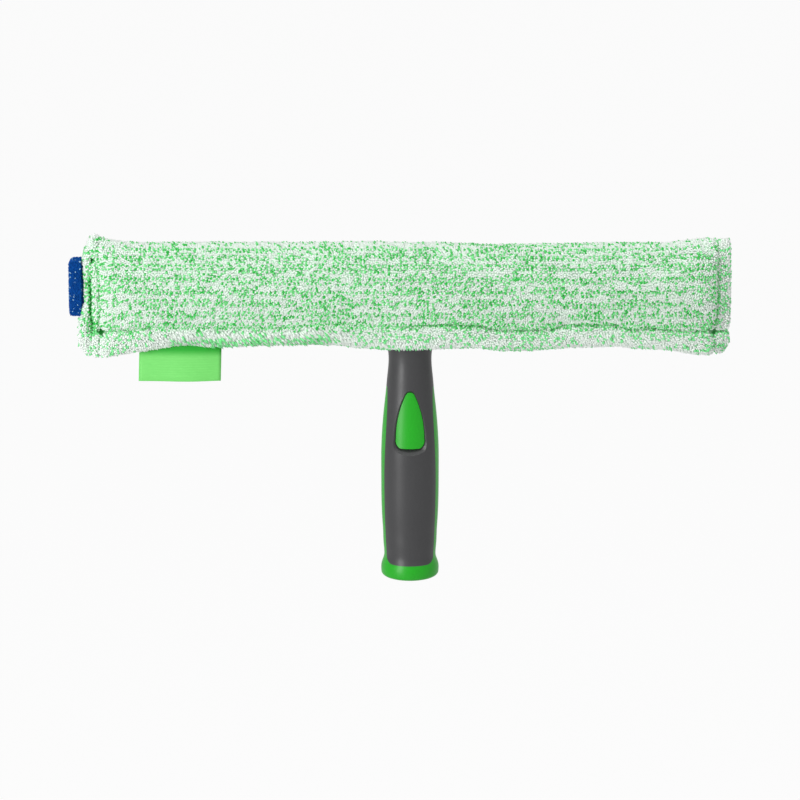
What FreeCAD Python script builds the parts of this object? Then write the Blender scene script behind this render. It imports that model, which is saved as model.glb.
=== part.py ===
"""Window washer: a T-bar on a two-colour handle, dressed in a pile sleeve that lifts off.

Frame, in millimetres: +Z runs up the handle's axis, from the mouth of its pole socket at the origin to the
bar; X runs along the bar; the face that shows in use, with the release button, looks along -Y.
"""

import FreeCAD, Part
import Sketcher
import math
import operator
import os
from types import SimpleNamespace

# Driving sizes, in millimetres.
SIZES = {
    # pole socket, and the slimmer bore for the pole's tip
    "socket_radius": 10.25,
    "socket_depth": 60.0,
    "socket_wall": 1.7,
    "tip_bore_radius": 5.5,
    "tip_bore_length": 27.0,
    # handle: a hard core with a soft skin moulded over it
    "skin_thickness": 2.0,
    "end_rounding": 2.2,
    "core_web": 12.4,
    # release button and the soft frame round it
    "button_half_width": 7.6,
    "button_height": 30.7,
    "button_gap": 0.3,
    "button_recess": 0.9,
    "button_travel": 2.5,
    "button_drop": 3.95,
    "frame_side": 3.2,
    "frame_foot": 5.0,
    "frame_tip": 3.6,
    "frame_seat": 0.8,
    "flare_depth": 5.0,
    "flare_side": 9.0,
    "flare_foot": 4.6,
    "flare_tip": 5.5,
    # latch plate and its spring
    "cavity_wall": 1.2,
    "latch_height": 18.0,
    "latch_thickness": 2.5,
    "latch_half_width": 8.6,
    "latch_tab_half_width": 6.6,
    "latch_tab_depth": 1.5,
    "latch_shoulder": 5.4,
    "latch_tail": 7.5,
    "latch_clearance": 0.2,
    "pocket_radius": 3.1,
    "pocket_depth": 11.7,
    "spring_web": 2.4,
    "spring_radius": 2.2,
    "spring_wire": 0.7,
    "spring_pitch": 2.05,
    # shank of the bar in the handle's neck, and the two screws that hold it
    "shank_length": 25.0,
    "shank_clearance": 0.15,
    "neck_wall": 2.1,
    "shank_end_gap": 0.5,
    "shank_rounding": 2.5,
    "screw_radius": 1.6,
    "screw_length": 11.0,
    "screw_head_radius": 3.0,
    "screw_head_height": 1.8,
    "screw_sink": 0.6,
    "screw_clearance": 0.25,
    "screw_recess_depth": 1.1,
    "screw_recess_width": 0.9,
    "screw_recess_length": 3.4,
    "screw_spacing": 8.5,
    "lower_screw_rise": 6.5,
    # T-bar
    "bar_thickness": 15.0,
    "bar_height": 42.5,
    "bar_half_length": 163.5,
    "bar_rounding": 5.5,
    "boss_height": 2.5,
    "boss_half_width": 16.0,
    "boss_inset": 0.3,
    "window_width": 13.0,
    "window_height": 17.0,
    "window_rounding": 3.0,
    "window_inset": 20.0,
    "window_drop": 5.5,
    "cap_length": 7.0,
    "spigot_length": 9.0,
    "spigot_wall": 2.8,
    "spigot_shelf": 5.6,
    "spigot_clearance": 0.1,
    # hook strips on the bar and loop tapes in the sleeve
    "strip_inset": 5.5,
    "strip_height": 12.0,
    "strip_thickness": 1.0,
    "strip_recess": 0.8,
    "strip_start": 21.0,
    "strip_rise": 3.5,
    "strip_rounding": 2.0,
    "tape_thickness": 0.8,
    # sleeve
    "sleeve_gap": 0.5,
    "sleeve_wall": 7.5,
    "crown_wall": 6.5,
    "left_slack": 1.8,
    "right_slack": 0.8,
    "end_fold": 2.7,
    "left_flange": 8.5,
    "right_flange": 6.5,
    "hem_drop": 6.5,
    "hem_height": 9.4,
    "hem_rounding": 3.2,
    "hem_inset": 1.2,
    "crease_depth": 2.9,
    "ear_rise": 3.9,
    "ear_drop": 5.0,
    "neck_gap": 1.0,
    # scrub pad at the left seam
    "pad_reach": 8.4,
    "pad_height": 32.0,
    "pad_half_thickness": 5.5,
    "pad_rounding": 4.0,
    "pad_drop": 8.2,
    "pad_tongue": 5.5,
    "pad_tongue_half_thickness": 1.0,
    # ribbon tag in the front hem
    "tag_width": 44.2,
    "tag_hang": 17.5,
    "tag_sewn": 5.0,
    "tag_thickness": 0.7,
    "tag_bow": 1.4,
    "tag_inset": 44.6,
    # how far a cutting shape runs past what it cuts
    "overrun": 5.0,
}

# Handle profile from the end face up: share of the handle's length, half width as a share of the waist's
# radius, and depth as a share of that width.
HANDLE_PROFILE_SHARES = (
    (0.000, 1.097, 1.000),
    (0.030, 1.122, 1.000),
    (0.056, 1.082, 1.000),
    (0.071, 1.029, 1.000),
    (0.0865, 1.000, 0.995),
    (0.109, 1.007, 0.985),
    (0.150, 1.036, 0.970),
    (0.233, 1.075, 0.950),
    (0.338, 1.111, 0.940),
    (0.451, 1.118, 0.940),
    (0.526, 1.115, 0.940),
    (0.602, 1.086, 0.930),
    (0.677, 1.032, 0.920),
    (0.752, 0.957, 0.905),
    (0.820, 0.896, 0.885),
    (0.902, 0.828, 0.860),
    (0.947, 0.853, 0.850),
    (1.000, 0.918, 0.830),
)
TOP_SHARES = HANDLE_PROFILE_SHARES[-1]
NECK_SHARES = HANDLE_PROFILE_SHARES[-3]

# Edge of the soft panels: half width as a share of the waist's radius, height as a share of the handle's.
PANEL_EDGE_SHARES = (
    (0.903, 0.088),
    (0.933, 0.150),
    (0.966, 0.233),
    (0.987, 0.316),
    (0.996, 0.444),
    (0.980, 0.511),
    (0.912, 0.654),
    (0.877, 0.744),
    (0.882, 0.796),
)
PANEL_CORNER_SHARES = ((0.674, 0.063), (0.834, 0.070))
PANEL_TOP_SHARE = 1.25

# Teardrop outline of the button: shares of its half width and of its height, for one side, going up. The
# last pair is the depth of its soft rim's inner edge, at foot and tip, as shares of the waist's radius.
TEAR_SHARES = ((0.70, 0.003), (0.905, 0.045), (1.00, 0.165), (0.80, 0.60), (0.30, 0.955))
RIM_DEPTH_SHARES = (0.79, 0.767)

# Sleeve from the left seam to the right one: place as a share of that seam's distance from the handle, crown
# and hem as shares of the ears' rise and drop, and wall and hem thickness as shares of the full ones.
SLEEVE_SHARES = (
    (-1.000, 0.92, -1.00, 0.40, 1.00),
    (-0.979, 0.90, -1.00, 0.78, 1.00),
    (-0.946, 0.66, -0.96, 0.93, 1.00),
    (-0.893, 0.05, -0.50, 1.00, 1.00),
    (-0.821, -0.08, 0.28, 1.00, 1.00),
    (-0.565, 0.08, 0.34, 1.00, 1.00),
    (-0.268, 0.20, 0.28, 1.00, 1.02),
    (-0.095, 0.30, 0.00, 1.00, 1.12),
    (0.096, 0.26, 0.00, 1.00, 1.12),
    (0.299, 0.00, -0.10, 1.00, 1.02),
    (0.491, 0.00, 0.28, 1.00, 1.00),
    (0.719, 0.00, 0.06, 1.00, 1.00),
    (0.850, 0.12, -0.26, 1.00, 1.00),
    (0.934, 0.76, -0.72, 0.93, 1.00),
    (0.976, 0.84, -0.80, 0.78, 1.00),
    (1.000, 0.84, -0.80, 0.40, 1.00),
)
# The seam flanges beyond the stitches, left and right: place as a share of the flange, then crown, hem and
# wall as above. The left one is rounded off above and below, the right one below only.
LEFT_FLANGE_SHARES = ((0.55, 0.92, -0.95, 0.50), (1.0, -0.25, 0.05, 0.42))
RIGHT_FLANGE_SHARES = ((0.45, 0.84, -0.50, 0.50), (1.0, 0.84, 0.15, 0.42))
# Where the sleeve's side meets its crown, as shares of its half thickness: out from the bar and below the top.
SHOULDER_SHARES = (0.93, 0.80)
# How far the middle of a quarter circle keeps from its corner, as a share of the radius.
CORNER_SHARE = 1 - math.sqrt(0.5)

OPERATIONS = {"+": operator.add, "-": operator.sub, "*": operator.mul, "/": operator.truediv}


class Size:
    """A length with its number and with the expression that ties it to the sheet."""

    def __init__(self, number, words):
        self.number = number
        self.words = words

    @staticmethod
    def join(sign, first, second):
        """The result of one sum on two sizes or numbers."""
        words = [one.words if isinstance(one, Size) else f"{float(one):.6f}" for one in (first, second)]
        return Size(OPERATIONS[sign](float(first), float(second)), f"({words[0]} {sign} {words[1]})")

    def __float__(self):
        return self.number

    def __add__(self, other):
        return Size.join("+", self, other)

    def __radd__(self, other):
        return Size.join("+", other, self)

    def __sub__(self, other):
        return Size.join("-", self, other)

    def __rsub__(self, other):
        return Size.join("-", other, self)

    def __mul__(self, other):
        return Size.join("*", self, other)

    def __rmul__(self, other):
        return Size.join("*", other, self)

    def __truediv__(self, other):
        return Size.join("/", self, other)

    def __neg__(self):
        return Size.join("-", 0, self)

    def __abs__(self):
        return abs(self.number)

    def __lt__(self, other):
        return float(self) < float(other)

    def __gt__(self, other):
        return float(self) > float(other)


doc = FreeCAD.newDocument("window_washer")
sheet = doc.addObject("Spreadsheet::Sheet", "sizes")
for row, (alias, number) in enumerate(SIZES.items(), start=1):
    sheet.set(f"A{row}", alias)
    sheet.set(f"B{row}", str(number))
    sheet.setAlias(f"B{row}", alias)
doc.recompute()
s = SimpleNamespace(**{alias: Size(float(sheet.get(alias)), f"sizes.{alias}") for alias in SIZES})

WINDOW_COUNT = 14
X_AXIS = FreeCAD.Vector(1, 0, 0)
Y_AXIS = FreeCAD.Vector(0, 1, 0)
Z_AXIS = FreeCAD.Vector(0, 0, 1)

# Sizes and places worked out from the driving ones.
s.waist_radius = s.socket_radius + s.socket_wall + s.skin_thickness
s.tip_bore_top = s.socket_depth + s.tip_bore_length
s.spring_level = s.tip_bore_top + s.spring_web + s.pocket_radius
s.shank_bottom = s.spring_level + s.pocket_radius + s.core_web
s.handle_length = s.shank_bottom + s.shank_length
s.latch_level = s.socket_depth + s.latch_height
s.button_bottom = s.latch_level - s.button_drop
s.cavity_floor = s.tip_bore_radius + s.cavity_wall
s.button_back = s.cavity_floor + s.button_travel + s.latch_clearance
s.latch_window_radius = s.tip_bore_radius + s.latch_clearance
s.neck_half_width = s.waist_radius * NECK_SHARES[1] - s.skin_thickness
s.neck_half_depth = s.waist_radius * (NECK_SHARES[1] * NECK_SHARES[2]) - s.skin_thickness
s.shank_half_width = s.neck_half_width - s.neck_wall - s.shank_clearance
s.shank_half_depth = s.neck_half_depth - s.neck_wall - s.shank_clearance
s.screw_seat = s.neck_half_depth - s.screw_sink
s.screw_levels = [s.shank_bottom + s.lower_screw_rise + number * s.screw_spacing for number in range(2)]
s.bar_half = s.bar_thickness / 2
s.bar_bottom = s.handle_length + s.boss_height
s.bar_top = s.bar_bottom + s.bar_height
s.bar_middle = s.bar_bottom + s.bar_height / 2
s.moulding_half_length = s.bar_half_length - s.cap_length
s.boss_half_depth = s.bar_half - s.boss_inset
s.window_level = s.bar_top - s.window_drop - s.window_height / 2
s.window_pitch = (s.moulding_half_length - s.window_inset) * (2 / (WINDOW_COUNT - 1))
s.strip_length = s.moulding_half_length - s.strip_inset - s.strip_start
s.strip_middle = s.strip_start + s.strip_length / 2
s.strip_level = s.bar_bottom + s.strip_rise + s.strip_height / 2
s.slot_half = s.bar_half + s.sleeve_gap
s.slot_top = s.bar_top + s.sleeve_gap
s.slot_left = s.bar_half_length + s.left_slack
s.slot_right = s.bar_half_length + s.right_slack
s.left_seam = s.slot_left + s.end_fold
s.right_seam = s.slot_right + s.end_fold
s.sleeve_half = s.slot_half + s.sleeve_wall
s.sleeve_top = s.slot_top + s.crown_wall
s.sleeve_bottom = s.bar_bottom - s.hem_drop
s.pad_top = s.sleeve_top - s.pad_drop
s.tag_offset = s.left_seam - s.tag_inset


def add(kind, name, x=None, y=None, z=None, **sizes):
    """A document object whose sizes and place are bound to the sheet."""
    made = doc.addObject(kind, name)
    for axis, place in (("x", x), ("y", y), ("z", z)):
        if place is not None:
            made.setExpression(f"Placement.Base.{axis}", place.words)
    for property_name, value in sizes.items():
        made.setExpression(property_name, value.words)
    return made


def along_y(cylinder):
    """Turns a cylinder that stands up so that it points along +Y."""
    cylinder.Placement.Rotation = FreeCAD.Rotation(X_AXIS, -90)
    return cylinder


def solid(name, shape):
    """A document object that holds a shape made in this file."""
    made = doc.addObject("Part::Feature", name)
    made.Shape = shape
    return made


def cut(name, base, *tools):
    """The base with every tool taken away."""
    tool = tools[0]
    if len(tools) > 1:
        tool = fuse(name + "_tools", *tools)
    made = doc.addObject("Part::Cut", name)
    made.Base = base
    made.Tool = tool
    return made


def common(name, base, tool):
    """What two objects share."""
    made = doc.addObject("Part::Common", name)
    made.Base = base
    made.Tool = tool
    return made


def fuse(name, *bases):
    """Several objects as one."""
    made = doc.addObject("Part::MultiFuse", name)
    made.Shapes = list(bases)
    return made


def edges_where(shape, wanted):
    """Numbers of the edges that a test accepts."""
    return [number for number, edge in enumerate(shape.Edges, start=1) if wanted(edge)]


def runs_along(edge, axis):
    """Whether a straight edge runs along an axis."""
    ends = edge.Vertexes
    if len(ends) < 2 or not isinstance(edge.Curve, Part.Line):
        return False
    way = ends[1].Point.sub(ends[0].Point).normalize()
    return abs(way.dot(axis)) > 0.999


def fillet(name, base, radius, wanted):
    """The base with the edges that a test accepts rounded."""
    doc.recompute()
    made = doc.addObject("Part::Fillet", name)
    made.Base = base
    made.Edges = [(number, float(radius), float(radius)) for number in edges_where(base.Shape, wanted)]
    return made


def origin_plane(body, role):
    """One of the body's origin planes."""
    return [feature for feature in body.Origin.OriginFeatures if feature.Role == role][0]


def new_sketch(body, name, plane, x=None, y=None, z=None):
    """A sketch on one of the body's origin planes, its own origin moved by sizes on the sheet."""
    sketch = body.newObject("Sketcher::SketchObject", name)
    sketch.AttachmentSupport = (origin_plane(body, plane), "")
    sketch.MapMode = "FlatFace"
    for axis, place in (("x", x), ("y", y), ("z", z)):
        if place is not None:
            sketch.setExpression(f"AttachmentOffset.Base.{axis}", place.words)
    return sketch


def constrain(sketch, name, size, *constraint):
    """A named constraint whose value is bound to the sheet."""
    sketch.renameConstraint(sketch.addConstraint(Sketcher.Constraint(*constraint, float(size))), name)
    sketch.setExpression(f"Constraints.{name}", size.words)


def rectangle(sketch, width, height):
    """A rectangle round the sketch's origin."""
    corners = [
        FreeCAD.Vector(across * width / 2, up * height / 2, 0)
        for across, up in ((-1, -1), (1, -1), (1, 1), (-1, 1))
    ]
    for number, corner in enumerate(corners):
        sketch.addGeometry(Part.LineSegment(corner, corners[(number + 1) % 4]), False)
    for number in range(4):
        sketch.addConstraint(Sketcher.Constraint("Coincident", number, 2, (number + 1) % 4, 1))
        level = "Horizontal" if number % 2 == 0 else "Vertical"
        sketch.addConstraint(Sketcher.Constraint(level, number))
    sketch.addConstraint(Sketcher.Constraint("Symmetric", 0, 1, 1, 2, -1, 1))
    constrain(sketch, "width", width, "DistanceX", 0, 1, 0, 2)
    constrain(sketch, "height", height, "DistanceY", 1, 1, 1, 2)


def circle(sketch, radius):
    """A circle round the sketch's origin."""
    sketch.addGeometry(Part.Circle(FreeCAD.Vector(0, 0, 0), Z_AXIS, float(radius)), False)
    sketch.addConstraint(Sketcher.Constraint("Coincident", 0, 3, -1, 1))
    constrain(sketch, "radius", radius, "Radius", 0)


def extrude(body, kind, name, sketch, length, side="One side", reverse=False):
    """A pad or pocket of a sketch."""
    made = body.newObject("PartDesign::" + kind, name)
    made.Profile = sketch
    made.SideType = side
    made.Reversed = reverse
    made.setExpression("Length", length.words)
    sketch.Visibility = False
    return made


def round_edges(body, name, radius, wanted):
    """Rounds the edges of the body so far that a test accepts."""
    doc.recompute()
    tip = body.Tip
    made = body.newObject("PartDesign::Fillet", name)
    made.Base = (tip, [f"Edge{number}" for number in edges_where(tip.Shape, wanted)])
    made.setExpression("Radius", radius.words)
    return made


def mirror(body, name, feature, plane):
    """The mirror image of a feature in one of the body's origin planes."""
    made = body.newObject("PartDesign::Mirrored", name)
    made.Originals = [feature]
    made.MirrorPlane = (origin_plane(body, plane), [""])
    body.Tip = made
    return made


def handle_form(name, inset):
    """The handle's outer form, drawn in by the inset: a loft through an ellipse at each station."""
    sections = []
    for number, (rise, width, depth) in enumerate(HANDLE_PROFILE_SHARES):
        section = add(
            "Part::Ellipse",
            f"{name}_section_{number}",
            z=s.handle_length * rise,
            MajorRadius=s.waist_radius * width - inset,
            MinorRadius=s.waist_radius * (width * depth) - inset,
        )
        sections.append(section)
    made = doc.addObject("Part::Loft", name)
    made.Sections = sections
    made.Solid = True
    made.Ruled = False
    return made


def panel_prism():
    """What lies behind the outline of the soft panels, cut right through the handle."""

    def place(shares, side=1):
        wide, rise = shares
        return FreeCAD.Vector(side * wide * s.waist_radius, 0, rise * s.handle_length)

    last_wide, last_rise = PANEL_EDGE_SHARES[-1]
    widening = (PANEL_TOP_SHARE - last_wide) * (s.waist_radius / s.handle_length).number
    shoulder = (PANEL_TOP_SHARE, last_rise + widening)
    top = (PANEL_TOP_SHARE, PANEL_TOP_SHARE)
    edges = []
    for side in (1, -1):
        flank = Part.BSplineCurve()
        flank.interpolate([place(shares, side) for shares in PANEL_EDGE_SHARES])
        start, bend = [place(shares, side) for shares in PANEL_CORNER_SHARES]
        edges.append(Part.Arc(start, bend, place(PANEL_EDGE_SHARES[0], side)).toShape())
        edges.append(flank.toShape())
        edges.append(Part.LineSegment(place(PANEL_EDGE_SHARES[-1], side), place(shoulder, side)).toShape())
        edges.append(Part.LineSegment(place(shoulder, side), place(top, side)).toShape())
    for shares in (PANEL_CORNER_SHARES[0], top):
        edges.append(Part.LineSegment(place(shares, -1), place(shares)).toShape())
    face = Part.Face(Part.Wire(Part.__sortEdges__(edges)))
    reach = PANEL_TOP_SHARE * s.waist_radius
    face.translate(FreeCAD.Vector(0, -reach, 0))
    return face.extrude(FreeCAD.Vector(0, 2 * reach, 0))


def tear_outline(side, foot, tip, depth_at):
    """The button's teardrop outline, grown by these amounts, at the depth that a function gives."""
    half_width = s.button_half_width + side
    height = s.button_height + foot + tip

    def place(wide, rise, sign=1):
        level = s.button_bottom - foot + rise * height
        return FreeCAD.Vector(sign * wide * half_width, -float(depth_at(rise)), level)

    base, bend, flank, middle, top = TEAR_SHARES
    runs = [(base, bend, flank, 1), (flank, middle, top, 1)]
    edges = [Part.Arc(place(*first, sign), place(*between, sign), place(*last, sign)) for first, between, last, sign in runs]
    edges.append(Part.Arc(place(*top), place(0, 1), place(*top, -1)))
    runs = [(top, middle, flank, -1), (flank, bend, base, -1)]
    edges += [Part.Arc(place(*first, sign), place(*between, sign), place(*last, sign)) for first, between, last, sign in runs]
    edges.append(Part.Arc(place(*base, -1), place(0, 0), place(*base)))
    return Part.Wire([edge.toShape() for edge in edges])


def tear_prism(side, foot, tip, back):
    """A straight bar with the teardrop outline, from a depth in front of the axis out past the handle."""
    front = s.waist_radius + s.sleeve_half
    face = Part.Face(tear_outline(side, foot, tip, lambda rise: back))
    return face.extrude(FreeCAD.Vector(0, back - front, 0))


def rim_flare():
    """The bevel of the soft rim: it widens from the button's window out past the handle."""

    def inner(rise):
        low, high = RIM_DEPTH_SHARES
        return s.waist_radius * (low + (high - low) * rise)

    def outer(rise):
        return inner(rise) + s.flare_depth

    gap = s.button_gap
    wires = [
        tear_outline(gap, gap, gap, inner),
        tear_outline(gap + s.flare_side, gap + s.flare_foot, gap + s.flare_tip, outer),
    ]
    return Part.makeLoft(wires, True, True)


def latch_outline(name, grow, travel):
    """The latch plate, or with some growth and travel the slot that it slides in: two boxes and half a disc."""
    wide = s.latch_half_width + grow
    tab = s.latch_tab_half_width + grow
    disc = s.latch_tail - s.latch_half_width
    level = s.latch_level - grow
    thick = s.latch_thickness + 2 * grow
    front = s.latch_shoulder + grow
    body = add(
        "Part::Box",
        name + "_body",
        x=-wide,
        y=-front,
        z=level,
        Length=2 * wide,
        Width=front + disc + travel,
        Height=thick,
    )
    tail = add("Part::Cylinder", name + "_tail", y=disc + travel, z=level, Radius=wide, Height=thick)
    tail.Angle = 180
    tab_front = s.button_back + s.latch_tab_depth
    tongue = add(
        "Part::Box",
        name + "_tab",
        x=-tab,
        y=-tab_front,
        z=level,
        Length=2 * tab,
        Width=tab_front - s.latch_shoulder + travel,
        Height=thick,
    )
    return fuse(name + "_outline", body, tail, tongue)


def screw_bores(name, radius, start, length):
    """Round cuts along +Y for both screws."""
    return [
        along_y(add("Part::Cylinder", f"{name}_{number}", y=start, z=level, Radius=radius, Height=length))
        for number, level in enumerate(s.screw_levels)
    ]


# Handle: a hard core that shows as two side bands and the end collar, and a soft skin over the rest, with a
# thicker frame round the button.
outer_form = handle_form("outer_form", 0 * s.skin_thickness)
inner_form = handle_form("inner_form", s.skin_thickness)
button_form = handle_form("button_form", s.button_recess)
rounded_form = fillet(
    "rounded_form", outer_form, s.end_rounding, lambda edge: abs(edge.BoundBox.ZMax) < s.latch_clearance
)
panels = solid("panels", panel_prism())
frame_back = s.button_back - s.frame_seat
frame_block = solid("frame_block", tear_prism(s.frame_side, s.frame_foot, s.frame_tip, frame_back))
skin_blank = cut(
    "skin_blank", common("skin_panels", outer_form, panels), cut("frame_room", inner_form, frame_block)
)
screw_heads = screw_bores("screw_head_sink", s.screw_head_radius + s.screw_clearance, s.screw_seat, s.sleeve_half)
cavity = solid("button_cavity", tear_prism(s.button_gap, s.button_gap, s.button_gap, s.cavity_floor))
soft_grip = cut("soft_grip", skin_blank, cavity, solid("rim_flare", rim_flare()), *screw_heads)

pole_socket = add("Part::Cylinder", "pole_socket", Radius=s.socket_radius, Height=s.socket_depth)
tip_bore = add("Part::Cylinder", "tip_bore", Radius=s.tip_bore_radius, Height=s.tip_bore_top)
spring_pocket = along_y(
    add(
        "Part::Cylinder",
        "spring_pocket",
        y=-s.button_back,
        z=s.spring_level,
        Radius=s.pocket_radius,
        Height=s.button_back - s.cavity_floor + s.pocket_depth,
    )
)
bore_half_width = s.shank_half_width + s.shank_clearance
bore_half_depth = s.shank_half_depth + s.shank_clearance
shank_bore = fillet(
    "shank_bore",
    add(
        "Part::Box",
        "shank_bore_box",
        x=-bore_half_width,
        y=-bore_half_depth,
        z=s.shank_bottom,
        Length=2 * bore_half_width,
        Width=2 * bore_half_depth,
        Height=s.shank_length + s.overrun,
    ),
    s.shank_rounding + s.shank_clearance,
    lambda edge: runs_along(edge, Z_AXIS),
)
screw_holes = screw_bores("screw_hole", s.screw_radius + s.screw_clearance, 0 * s.screw_seat, s.sleeve_half)
handle_core = cut(
    "handle_core",
    cut("core_blank", rounded_form, skin_blank),
    cavity,
    pole_socket,
    tip_bore,
    latch_outline("latch_slot", s.latch_clearance, s.button_travel + s.latch_clearance),
    spring_pocket,
    shank_bore,
    *screw_holes,
    *screw_heads,
)

# Release button: a teardrop cap on a latch plate, whose window's rear lip reaches into the bore of the pole's
# tip until the button is pushed in.
flush = 0 * s.button_gap
cap_blank = common("cap_blank", button_form, solid("cap_prism", tear_prism(flush, flush, flush, s.button_back)))
tab_groove = add(
    "Part::Box",
    "tab_groove",
    x=-s.latch_tab_half_width,
    y=-s.button_back - s.latch_tab_depth,
    z=s.latch_level,
    Length=2 * s.latch_tab_half_width,
    Width=s.latch_tab_depth + s.overrun,
    Height=s.latch_thickness,
)
release_button = cut("release_button", cap_blank, tab_groove)
latch_window = add(
    "Part::Cylinder",
    "latch_window",
    y=-s.button_travel,
    z=s.latch_level - s.overrun,
    Radius=s.latch_window_radius,
    Height=s.latch_thickness + 2 * s.overrun,
)
latch_plate = cut("latch_plate", latch_outline("latch", flush, flush), latch_window)


def spring_shape():
    """A compression spring along Y, from the floor of its pocket to the back of the button."""
    wire = s.spring_wire / 2
    floor = s.pocket_depth - s.cavity_floor
    length = floor + s.button_back - 2 * wire
    helix = Part.makeHelix(s.spring_pitch, length, s.spring_radius)
    profile = Part.Wire(Part.Circle(FreeCAD.Vector(s.spring_radius, 0, 0), Y_AXIS, float(wire)).toShape())
    made = Part.Wire(helix.Edges).makePipeShell([profile], True, True)
    made.rotate(FreeCAD.Vector(0, 0, 0), X_AXIS, 90)
    made.translate(FreeCAD.Vector(0, floor - wire, s.spring_level))
    return made


latch_spring = solid("latch_spring", spring_shape())

# T-bar: one moulding with water windows, recesses for the hook strips, a socket at each end for the bumpers,
# and a shank that goes down into the handle's neck.
t_bar = doc.addObject("PartDesign::Body", "t_bar")
profile = new_sketch(t_bar, "bar_profile", "YZ_Plane", y=s.bar_middle)
rectangle(profile, s.bar_thickness, s.bar_height)
extrude(t_bar, "Pad", "bar_pad", profile, 2 * s.moulding_half_length, "Symmetric")
round_edges(t_bar, "bar_edges", s.bar_rounding, lambda edge: runs_along(edge, X_AXIS))
foot = new_sketch(t_bar, "boss_profile", "XY_Plane", z=s.handle_length)
rectangle(foot, 2 * s.boss_half_width, 2 * s.boss_half_depth)
extrude(t_bar, "Pad", "boss_pad", foot, s.boss_height + s.bar_rounding)
stem = new_sketch(t_bar, "shank_profile", "XY_Plane", z=s.handle_length)
rectangle(stem, 2 * s.shank_half_width, 2 * s.shank_half_depth)
extrude(t_bar, "Pad", "shank_pad", stem, s.shank_length - s.shank_end_gap, reverse=True)
round_edges(
    t_bar,
    "shank_edges",
    s.shank_rounding,
    lambda edge: runs_along(edge, Z_AXIS) and edge.BoundBox.ZMax < s.handle_length + s.shank_clearance,
)
pane = new_sketch(
    t_bar, "window_profile", "XZ_Plane", x=-s.window_pitch * ((WINDOW_COUNT - 1) / 2), y=s.window_level
)
rectangle(pane, s.window_width, s.window_height)
window = extrude(t_bar, "Pocket", "window_pocket", pane, s.bar_thickness + 2 * s.overrun, "Symmetric")
windows = t_bar.newObject("PartDesign::LinearPattern", "windows")
windows.Originals = [window]
windows.Direction = (pane, ["H_Axis"])
windows.Occurrences = WINDOW_COUNT
windows.setExpression("Length", (s.window_pitch * (WINDOW_COUNT - 1)).words)
t_bar.Tip = windows


def is_window_corner(edge):
    """Whether an edge is a corner of a water window."""
    return runs_along(edge, Y_AXIS) and abs(edge.BoundBox.Center.z - s.window_level) < s.window_height


round_edges(t_bar, "window_edges", s.window_rounding, is_window_corner)
for side, place in (("left", -s.strip_middle), ("right", s.strip_middle)):
    bed = new_sketch(
        t_bar, f"strip_bed_{side}", "XZ_Plane", x=place, y=s.strip_level, z=s.bar_half - s.strip_recess
    )
    rectangle(bed, s.strip_length, s.strip_height)
    recess = extrude(t_bar, "Pocket", f"strip_recess_{side}", bed, s.overrun, reverse=True)
    mirror(t_bar, f"strip_recess_{side}_back", recess, "XZ_Plane")
mouth = new_sketch(t_bar, "cap_socket_profile", "YZ_Plane", y=s.bar_middle, z=s.moulding_half_length)
rectangle(mouth, s.bar_thickness - 2 * s.spigot_wall, s.bar_height - 2 * s.spigot_shelf)
cap_socket = extrude(t_bar, "Pocket", "cap_socket", mouth, s.spigot_length + s.spigot_clearance)
mirror(t_bar, "cap_socket_left", cap_socket, "YZ_Plane")
for number, level in enumerate(s.screw_levels):
    hole = new_sketch(t_bar, f"screw_pilot_profile_{number}", "XZ_Plane", y=level, z=-s.screw_seat)
    circle(hole, s.screw_radius)
    extrude(t_bar, "Pocket", f"screw_pilot_{number}", hole, s.screw_length, reverse=True)


def end_cap(name, sign):
    """A soft bumper on one end of the bar, with a spigot in the bar's end socket."""
    block = add(
        "Part::Box",
        name + "_block",
        x=s.moulding_half_length if sign > 0 else -s.bar_half_length,
        y=-s.bar_half,
        z=s.bar_bottom,
        Length=s.cap_length,
        Width=s.bar_thickness,
        Height=s.bar_height,
    )
    inside = sign * s.moulding_half_length

    def is_outer(edge):
        box = edge.BoundBox
        return max(abs(box.XMin - inside), abs(box.XMax - inside)) > s.spigot_clearance

    rounded = fillet(name + "_rounded", block, s.bar_rounding, is_outer)
    spigot = add(
        "Part::Box",
        name + "_spigot",
        x=s.moulding_half_length - s.spigot_length if sign > 0 else -s.moulding_half_length - s.strip_thickness,
        y=s.spigot_wall + s.spigot_clearance - s.bar_half,
        z=s.bar_bottom + s.spigot_shelf + s.spigot_clearance,
        Length=s.spigot_length + s.strip_thickness,
        Width=s.bar_thickness - 2 * (s.spigot_wall + s.spigot_clearance),
        Height=s.bar_height - 2 * (s.spigot_shelf + s.spigot_clearance),
    )
    return fuse(name, rounded, spigot)


end_cap_left = end_cap("end_cap_left", -1)
end_cap_right = end_cap("end_cap_right", 1)


def strip(name, sign_x, sign_y, thickness, inner):
    """One hook strip or loop tape: a thin band along the bar, its inner face at a distance from the axis."""
    band = add(
        "Part::Box",
        name + "_band",
        x=s.strip_start if sign_x > 0 else -s.strip_start - s.strip_length,
        y=inner if sign_y > 0 else -inner - thickness,
        z=s.strip_level - s.strip_height / 2,
        Length=s.strip_length,
        Width=thickness,
        Height=s.strip_height,
    )
    return fillet(name, band, s.strip_rounding, lambda edge: runs_along(edge, Y_AXIS))


hook_strips = []
loop_tapes = []
for face, sign_y in (("front", -1), ("back", 1)):
    for side, sign_x in (("left", -1), ("right", 1)):
        name = f"{face}_{side}"
        recess_floor = s.bar_half - s.strip_recess
        hook_strips.append(strip("hook_strip_" + name, sign_x, sign_y, s.strip_thickness, recess_floor))
        loop_tapes.append(strip("loop_tape_" + name, sign_x, sign_y, s.tape_thickness, s.slot_half))


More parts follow.
